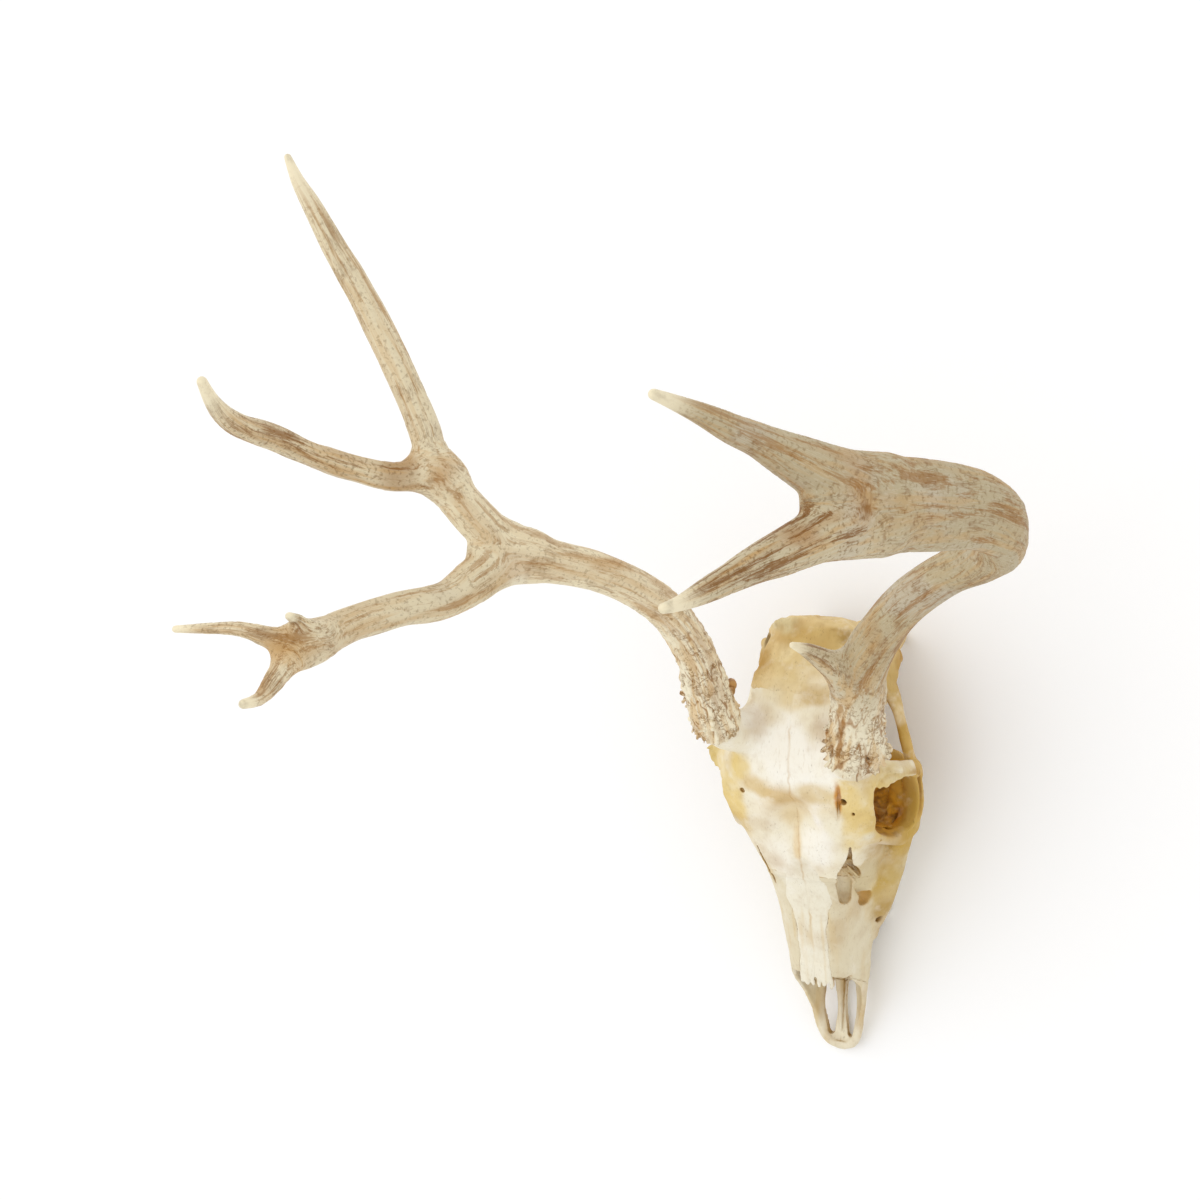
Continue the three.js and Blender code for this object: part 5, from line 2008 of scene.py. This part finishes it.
    def dress(self, skin: Skin) -> np.ndarray:
        """Gives the antler its furrows, pearls and tones, run into each other where branches meet.

        Args:
            skin: The whole antler's skin, changed in place.

        Returns:
            The number of the branch that each point belongs to.
        """
        points = skin.points
        normals = skin.normals()
        found = [self.survey(branch, points) for branch in self.branches]
        outside = np.stack([places[0] for places in found])
        share = np.exp(-(outside - outside.min(axis=0)) / self.run_in)
        share[share < 0.03] = 0
        share /= share.sum(axis=0)
        names = ("furrow", "crease", "along", "tip", "dark", "grey", "patch")
        mean = {name: np.zeros(len(points), np.float32) for name in names}
        grain = np.zeros((len(points), 3))
        for (_, along, across, tip), part, branch in zip(found, share, self.branches):
            on = np.flatnonzero(part)
            turn = across[on] / np.maximum(np.linalg.norm(across[on], axis=1, keepdims=True), 1e-6)
            local = np.concatenate([along[on, None], turn * GIRTH], axis=1)
            furrow = self._wound(local, 1, (34, 3.1, 3.1), 2, (18, 1.7, 1.7))
            crease = self._wound(local, 7, (20, 3.0, 3.0), 8, (8.0, 1.8, 1.8), 0.5)
            patch = self._wound(local, 9, (95.0, 9.0, 9.0), 11, (30.0, 4.6, 4.6))
            values = (furrow, crease, along[on], tip[on] * branch.free, branch.dark, branch.grey, patch)
            for name, value in zip(names, values):
                mean[name][on] += part[on] * value
            grain[on] += part[on, None] * local
        along, tip, furrow = mean["along"], mean["tip"], mean["furrow"]
        dark, grey = mean["dark"], mean["grey"]
        pearl = Noise(self.seed + 3).at(points, 3.2) + 0.6 * Noise(self.seed + 4).at(points, 1.9)
        crease = np.exp(-((mean["crease"] / 0.11) ** 2))
        reach = along + 12 * Noise(self.seed + 5).at(points, 24.0)
        rough = 1 - soft_step(self.coarse * 0.4, self.coarse * 1.6, reach)
        smooth_tip = 1 - soft_step(0.72, 0.97, tip)
        lump = Noise(self.seed + 6).at(points, 15.0)
        height = rough * (0.6 * pearl + 0.45 * furrow - 0.45 * crease)
        height += smooth_tip * (0.30 * furrow + 0.35 * lump - 0.18 * crease) + 0.1 * lump
        tone = washed(tint(240, 227, 194), tint(162, 146, 112), grey)
        for colour_cloud in self.stains:
            tone = colour_cloud.lay(tone, points, lump)
        brown = soft_step(0.05, 0.85, mean["patch"]) * np.clip(0.15 + 0.9 * dark, 0, 1) * smooth_tip
        tone = washed(tone, tint(176, 130, 68), 0.6 * brown * (1 - 0.6 * rough))
        ash = soft_step(0.1, 0.9, Noise(self.seed + 10).layered(points, 26.0, 3)) * grey
        tone = washed(tone, tint(192, 182, 164), 0.7 * ash)
        pale = soft_step(0.80, 0.97, tip)
        tone = washed(tone, tint(244, 232, 200), pale * 0.9)
        tone = washed(tone, tint(244, 235, 208), rough * 0.8)
        for place, size in self.knobs:
            near = 1 - soft_step(size * 0.9, size * 2.0, np.linalg.norm(points - np.array(place), axis=1))
            tone = washed(tone, tint(164, 96, 30), 0.85 * near)
        shade = washed(tint(172, 118, 44), tint(118, 72, 14), np.clip(dark - 0.2 * rough, 0, 1))
        skin.points = points + normals * height[:, None]
        skin.values = {
            "tone": np.clip(tone, 0, 1),
            "shade": np.clip(shade, 0, 1),
            "grain": grain / np.array([60.0, 6.0, 6.0]),
            "furrow": np.clip(0.5 - 0.45 * furrow, 0, 1),
            "crease": np.clip(crease * (0.25 + 0.75 * rough) * smooth_tip, 0, 1),
            "pearled": rough,
            "soil": np.clip(0.40 + 0.65 * dark - 0.2 * rough, 0, 1) * (1 - 0.95 * pale),
        }
        return (outside + 0.6 * np.arange(len(self.branches))[:, None]).argmin(axis=0)

    def _wound(
        self,
        local: np.ndarray,
        seed: int,
        cell: Triple,
        finer_seed: int,
        finer: Triple,
        weight: float = 0.6,
    ) -> np.ndarray:
        """Noise of two grains that follows a branch.

        Args:
            local: Places on the branch, along and round it.
            seed: Seed of the coarse grain, counted from the antler's own.
            cell: Size of the coarse grain.
            finer_seed: Seed of the fine grain.
            finer: Size of the fine grain.
            weight: How strong the fine grain is.

        Returns:
            One value for each place.
        """
        coarse = Noise(self.seed + seed).at(local, cell)
        return coarse + weight * Noise(self.seed + finer_seed).at(local, finer)

    def build(self, finish: bpy.types.Material) -> list[tuple[str, str, bpy.types.Object]]:
        """Builds the antler's branches.

        Args:
            finish: The material that they share.

        Returns:
            For each branch, its node, its slot and its object.
        """
        skin = self.mass().surface().biggest()
        nodes = list(dict.fromkeys(branch.node for branch in self.branches))
        member = np.array([nodes.index(branch.node) for branch in self.branches])
        faces = self._settle(skin, member[self.dress(skin)], len(nodes))
        made = []
        for number, node in enumerate(nodes):
            part, lid = self._closed(skin.part(faces == number))
            piece = make_piece(node + "_horn", part, lid)
            piece.data.materials.append(finish)
            self._sharpen(piece, lid)
            made.append((node, "antler", piece))
        return made

    @staticmethod
    def _settle(skin: Skin, owner: np.ndarray, count: int) -> np.ndarray:
        """Gives each quad to one piece, with no piece in bits.

        Args:
            skin: The whole antler's skin.
            owner: The piece that each point belongs to.
            count: How many pieces there are.

        Returns:
            The number of the piece for each quad.
        """
        faces = owner[skin.quads].min(axis=1)
        for _ in range(4):
            for number in range(count):
                mine = np.flatnonzero(faces == number)
                label = skin.labels(skin.quads[mine])[skin.quads[mine, 0]]
                names, counts = np.unique(label, return_counts=True)
                loose = mine[label != names[counts.argmax()]]
                if not len(loose):
                    continue
                touched = np.full(len(skin.points), -1)
                others = faces != number
                touched[skin.quads[others].ravel()] = np.repeat(faces[others], 4)
                near = touched[skin.quads[loose]].max(axis=1)
                faces[loose] = np.where(near >= 0, near, faces[loose])
        return faces

    @staticmethod
    def _closed(skin: Skin) -> tuple[Skin, np.ndarray]:
        """Closes the open ends of a skin with fans.

        Args:
            skin: The skin with its open ends.

        Returns:
            The skin with a middle point added for each end, and the triangles of the fans.
        """
        rim = skin.rim()
        if not len(rim):
            return skin, np.zeros((0, 3), np.int64)
        label = np.arange(len(skin.points))
        while True:
            low = label[rim].min(axis=1)
            fresh = label.copy()
            for k in range(2):
                np.minimum.at(fresh, rim[:, k], low)
            if np.array_equal(fresh, label):
                break
            label = fresh
        fans = []
        points, values = [skin.points], {name: [value] for name, value in skin.values.items()}
        count = len(skin.points)
        for name in np.unique(label[rim[:, 0]]):
            loop = rim[label[rim[:, 0]] == name]
            members = np.unique(loop)
            points.append(skin.points[members].mean(axis=0, keepdims=True))
            for key, value in skin.values.items():
                values[key].append(value[members].mean(axis=0, keepdims=True))
            fans.append(np.concatenate([loop, np.full((len(loop), 1), count)], axis=1))
            count += 1
        merged = {name: np.concatenate(value) for name, value in values.items()}
        return Skin(np.concatenate(points), skin.quads, merged), np.concatenate(fans)

    @staticmethod
    def _sharpen(piece: bpy.types.Object, lid: np.ndarray) -> None:
        """Keeps the shading of a branch smooth up to its closed ends.

        Args:
            piece: The object of the branch.
            lid: The triangles that close its ends.
        """
        if not len(lid):
            return
        ends = set(map(frozenset, lid[:, :2].tolist()))
        mesh = piece.data
        pairs = np.zeros(len(mesh.edges) * 2, np.int32)
        mesh.edges.foreach_get("vertices", pairs)
        on_lid = np.isin(pairs.reshape(-1, 2), lid[:, :2]).all(axis=1)
        sharp = np.zeros(len(mesh.edges), bool)
        for k in np.flatnonzero(on_lid):
            sharp[k] = frozenset(pairs[2 * k : 2 * k + 2].tolist()) in ends
        mesh.attributes.new("sharp_edge", "BOOLEAN", "EDGE").data.foreach_set("value", sharp)


LEFT_ANTLER = Antler(
    PEDICLE_LEFT,
    (
        Branch(
            "antler_left_beam",
            Bar(
                (
                    (53.7, 251.6, 149.5, 14.2, 13.4), (64.6, 273.3, 166, 13.4, 12.6),
                    (79.9, 293, 180.7, 12, 12), (98.3, 310.2, 194, 11.4, 11.4),
                    (119.8, 324.4, 205.9, 11.4, 11.6), (138.6, 333.8, 215.4, 12.6, 12),
                    (151.4, 343.2, 228, 14.6, 12), (156.4, 353, 246.9, 16.4, 11.6),
                    (150.2, 360.2, 271.7, 18.8, 11.4), (140.1, 362.9, 299.2, 20.7, 11.2),
                    (130.7, 364.1, 326.5, 21.4, 11), (123.2, 364.8, 345, 18.4, 10),
                    (117.2, 366, 358, 10.4, 9.2),
                ),
                PALM_PLANE,
            ),
            start=40.0, dark=0.5, grey=0.75, free=False,
        ),
        Branch(
            "antler_left_upper_tine",
            Bar(
                (
                    (127.4, 371, 335, 14, 9.6), (120.6, 374, 352, 14.4, 9.8), (111.6, 380, 370, 12.6, 9.6),
                    (103.6, 386.8, 387.4, 9.8, 8.6), (97.8, 392.5, 403.1, 7.4, 7),
                    (92.3, 397.9, 418.8, 6.1, 5.8), (86.7, 403.1, 433.5, 4.8, 4.6),
                    (81.1, 407.8, 448.2, 3.4, 3.2), (77.2, 411.2, 460.8, 2.3, 2.3),
                ),
                PALM_PLANE,
            ),
            start=330.0, dark=0.4, grey=0.7,
        ),
        Branch(
            "antler_left_lower_tine",
            Bar(
                (
                    (128.4, 357.4, 335, 14, 9.6), (121.6, 356, 353, 14.4, 9.8),
                    (114.4, 352.8, 371.6, 12.4, 9.6), (108, 347.4, 388.9, 10.2, 8.6),
                    (102, 342.4, 406.3, 8.3, 7.4), (96.9, 337.5, 423.1, 6.7, 6),
                    (91.7, 332.4, 438.9, 5, 4.6), (87.4, 328.5, 454.1, 3, 3),
                    (84.9, 327.3, 462.0, 2.2, 2.2),
                ),
                PALM_PLANE,
            ),
            start=330.0, dark=0.85, grey=0.55,
        ),
        Branch(
            "antler_left_beam",
            Bar(
                (
                    (55, 251, 149, 11, 10), (48.9, 262.3, 162.1, 9.4, 8), (43.2, 270.6, 177.6, 6.1, 5.6),
                    (39.7, 276.7, 192.2, 3.7, 3.4), (37.0, 280.4, 204.6, 1.6, 1.6),
                ),
                (1.0, 0.0, 0.0),
            ),
            start=50.0, dark=0.75, grey=0.45,
        ),
    ),
    (22.0, 190.0, 100.0), (178.0, 420.0, 468.0), 41, 46.0,
    stains=(
        ColourCloud((117, 366, 356), (14, 22, 20), (182, 128, 58), 0.85),
        ColourCloud((108, 352, 386), (14, 8, 24), (166, 112, 50), 0.7),
        ColourCloud((60, 262, 168), (9, 12, 14), (150, 108, 56), 0.35),
        ColourCloud((76, 290, 186), (8, 18, 18), (176, 134, 76), 0.35),
        ColourCloud((134, 368, 310), (14, 10, 24), (206, 196, 176), 0.7),
    ),
    fills=(Lump((112, 366.6, 373.6), (5.5, 5.5, 5.5)),),
)

RIGHT_ANTLER = Antler(
    PEDICLE_RIGHT,
    (
        Branch(
            "antler_right_beam",
            Bar(
                (
                    (-37.2, 250, 151, 10.8, 12), (-37.4, 268.4, 165.7, 10.4, 11.6),
                    (-43, 291.4, 190.2, 9.9, 11), (-55.2, 305.4, 209.9, 9.9, 10.6),
                    (-68.3, 314, 229.1, 10.6, 10.4), (-84.1, 319.8, 250.1, 12, 10.4),
                    (-97, 323.6, 264, 15.4, 10),
                ),
                RIGHT_FORK_PLANE,
            ),
            start=40.0, dark=0.25, grey=0.1, free=False,
        ),
        Branch(
            "antler_right_rear_branch",
            Bar(
                (
                    (-90, 321.5, 257, 9, 8.4), (-99, 327, 266.5, 11.4, 9.4),
                    (-107.6, 337.6, 275.7, 11.3, 9.8), (-119, 351.8, 283.1, 10.8, 9.6),
                    (-129, 365, 288.6, 11.6, 9),
                ),
                UPPER_FORK_PLANE,
            ),
            start=180.0, dark=0.25, grey=0.15, free=False,
        ),
        Branch(
            "antler_right_front_branch",
            Bar(
                (
                    (-91, 323.5, 256, 9, 8.4), (-98.6, 321, 267, 11.4, 9.4),
                    (-105.4, 311.4, 284.4, 11.3, 9.6), (-112.4, 301.2, 305.3, 9.3, 9),
                    (-122, 298.6, 331.3, 8.7, 8.6), (-130, 294, 358.7, 8.8, 8.2),
                    (-134.6, 288.4, 381, 9.4, 7.6), (-137, 285, 394, 9.8, 7),
                ),
                FRONT_FORK_PLANE,
            ),
            start=180.0, dark=0.3, grey=0.25, free=False,
        ),
        Branch(
            "antler_right_front_branch",
            Bar(
                (
                    (-133, 289, 383, 5.4, 5), (-134.2, 293, 393, 4.2, 4), (-133.5, 299.2, 402.6, 2.8, 2.8),
                    (-133.2, 301.6, 409.2, 1.8, 1.8),
                ),
                (1.0, 0.0, 0.0),
            ),
            start=310.0, dark=0.8, grey=0.2,
        ),
        Branch(
            "antler_right_long_tine",
            Bar((
                (-124, 360.5, 286.5, 8.4, 7), (-130.4, 370, 289.3, 9.4, 8), (-135.7, 387.2, 291, 8.5, 8),
                (-143.9, 408.9, 295.4, 7.9, 7.8), (-157.8, 440.2, 303.1, 7.4, 7.4),
                (-167.3, 462.2, 311.1, 7.1, 7), (-175, 480.2, 318.7, 6.3, 6),
                (-183.4, 498.5, 324.7, 5, 4.8), (-188, 509.6, 329.8, 3.5, 3.4),
                (-191.6, 520.6, 333.2, 1.9, 1.9),
            )),
            start=230.0, dark=0.3, grey=0.2,
        ),
        Branch(
            "antler_right_short_tine",
            Bar(
                (
                    (-125, 362, 284, 8, 7), (-131.5, 364.5, 292, 8.6, 8), (-141, 362.6, 308.5, 7.1, 7.4),
                    (-152, 367.8, 333.1, 6.5, 7), (-158.5, 374.7, 358.2, 6.1, 6.6),
                    (-162.3, 382.8, 381.8, 6.2, 6), (-164.5, 388.4, 404.8, 6.1, 5.6),
                    (-162.1, 394.7, 423.1, 5.1, 4.8), (-159.4, 402.2, 435.5, 3.6, 3.4),
                    (-156.8, 409.6, 444.6, 2.5, 2.5),
                ),
                (0.0, 1.0, 0.0),
            ),
            start=230.0, dark=0.7, grey=0.2,
        ),
        Branch(
            "antler_right_outer_fork",
            Bar(
                (
                    (-134.5, 287, 387, 5.6, 5), (-138.2, 287, 397.2, 6.4, 5.6),
                    (-146.1, 290.6, 408, 4.7, 4.6), (-157.7, 294, 413.5, 3.5, 3.5),
                    (-177.7, 292.7, 414.9, 2.6, 2.6), (-194.6, 291.1, 415.7, 1.8, 1.8),
                ),
                (0.0, 1.0, 0.0),
            ),
            start=320.0, dark=0.55, grey=0.1,
        ),
        Branch(
            "antler_right_inner_fork",
            Bar(
                (
                    (-136, 286, 386, 5.6, 5), (-138.2, 281.6, 398.5, 6.4, 5.4),
                    (-138.1, 271.5, 413.1, 4.7, 4.4), (-136.9, 264.5, 427, 3.2, 3.2),
                    (-137.2, 263.7, 438.4, 2.3, 2.3),
                ),
                (1.0, 0.0, 0.0),
            ),
            start=320.0, dark=0.55, grey=0.1,
        ),
    ),
    (-202.0, 196.0, 100.0), (-16.0, 528.0, 456.0), 61, 92.0, burr_reach=3.2, burr_rise=4.0,
    knobs=(((-28.2, 244.4, 133.5), 2.8), ((-29.6, 241.0, 130.0), 2.2)),
    stains=(
        ColourCloud((-128, 364, 288), (14, 10, 12), (178, 124, 56), 0.8),
        ColourCloud((-140, 364, 306), (10, 12, 26), (158, 110, 52), 0.6),
        ColourCloud((-140, 286, 400), (14, 13, 16), (200, 154, 84), 0.8),
        ColourCloud((-139, 268, 420), (9, 10, 14), (182, 130, 62), 0.7),
        ColourCloud((-98, 318, 268), (16, 12, 14), (234, 228, 210), 0.9),
        ColourCloud((-60, 318, 216), (12, 7, 22), (182, 134, 72), 0.7),
    ),
    fills=(Lump((-106.3, 324.7, 279.5), (6, 6, 6)),),
)


# ---------------------------------------------------------------------------------------------
# Studio


@dataclass(frozen=True)
class Studio:
    """Floor, light and camera."""

    floor_half: float = 4.0
    sky: float = 0.90
    key_power: float = 0.68
    key_angle: float = 1.3  # how wide the lamp looks from the floor, in radians
    key_place: Triple = (-1.1, 0.7, 1.9)
    key_aim: float = 0.15  # height of the point that the lamp looks at, m
    eye: Triple = (433.0, 423.0, 1194.0)  # place of the camera on the animal's axes, mm
    ahead: Triple = (-0.454, -0.114, -0.883)
    above: Triple = (-0.076, 0.993, -0.089)
    sensor: float = 36.0  # width of the camera's sensor, mm
    focal: float = 62.04  # focal length, mm
    near: float = 0.05  # closest that the camera sees, m

    def build(self) -> None:
        """Builds the studio."""
        half = self.floor_half
        mesh = bpy.data.meshes.new("studio_floor")
        corners = [(-half, -half, 0), (half, -half, 0), (half, half, 0), (-half, half, 0)]
        mesh.from_pydata(corners, [], [(0, 1, 2, 3)])
        floor = bpy.data.objects.new("studio_floor", mesh)
        floor.data.materials.append(FloorFinish().make())
        bpy.context.scene.collection.objects.link(floor)
        self._light()
        self._camera()

    def _light(self) -> None:
        """A pale surrounding light and one large soft lamp."""
        world = bpy.data.worlds.new("studio_light")
        world.use_nodes = True
        sky = world.node_tree.nodes["Background"]
        sky.inputs["Color"].default_value = (1.0, 1.0, 1.0, 1.0)
        sky.inputs["Strength"].default_value = self.sky
        scene = bpy.context.scene
        scene.world = world
        scene.view_settings.view_transform = "Standard"
        lamp = bpy.data.lights.new("soft_lamp", "SUN")
        lamp.energy = self.key_power
        lamp.angle = self.key_angle
        holder = bpy.data.objects.new("soft_lamp", lamp)
        holder.location = self.key_place
        way = -Vector(self.key_place) + Vector((0, 0, self.key_aim))
        holder.rotation_euler = way.to_track_quat("-Z", "Y").to_euler()
        scene.collection.objects.link(holder)

    def _camera(self) -> None:
        """The camera, high over the left side of the head."""
        ahead = unit(np.array(self.ahead))
        right = unit(np.cross(ahead, np.array(self.above)))
        up = np.cross(right, ahead)
        lens = bpy.data.cameras.new("studio_camera")
        lens.sensor_width = self.sensor
        lens.lens = self.focal
        lens.clip_start = self.near
        camera = bpy.data.objects.new("studio_camera", lens)
        turn = Matrix((right, up, -ahead)).transposed().to_4x4()
        place = np.array(self.eye) * MM + ORIGIN
        camera.matrix_world = Matrix.Translation(Vector(place)) @ turn
        bpy.context.scene.collection.objects.link(camera)
        bpy.context.scene.camera = camera


def settle(made: list[tuple[str, str, bpy.types.Object]]) -> None:
    """Puts each piece under the root, hides the imported part that it replaces, and reports it.

    Args:
        made: The node, the slot and the object of each piece.
    """
    for node, slot, piece in made:
        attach(piece, "root")
        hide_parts(node)
        LOG.info("%s: %d faces", piece.name, len(piece.data.polygons))


def main() -> None:
    """Builds the skull, the antlers and the studio."""
    logging.basicConfig(level=logging.INFO, format="%(message)s")
    settle(Skull().build())
    horn = AntlerFinish("antler").make()
    for antler in (LEFT_ANTLER, RIGHT_ANTLER):
        settle(antler.build(horn))
    Studio().build()


if __name__ == "__main__":
    main()
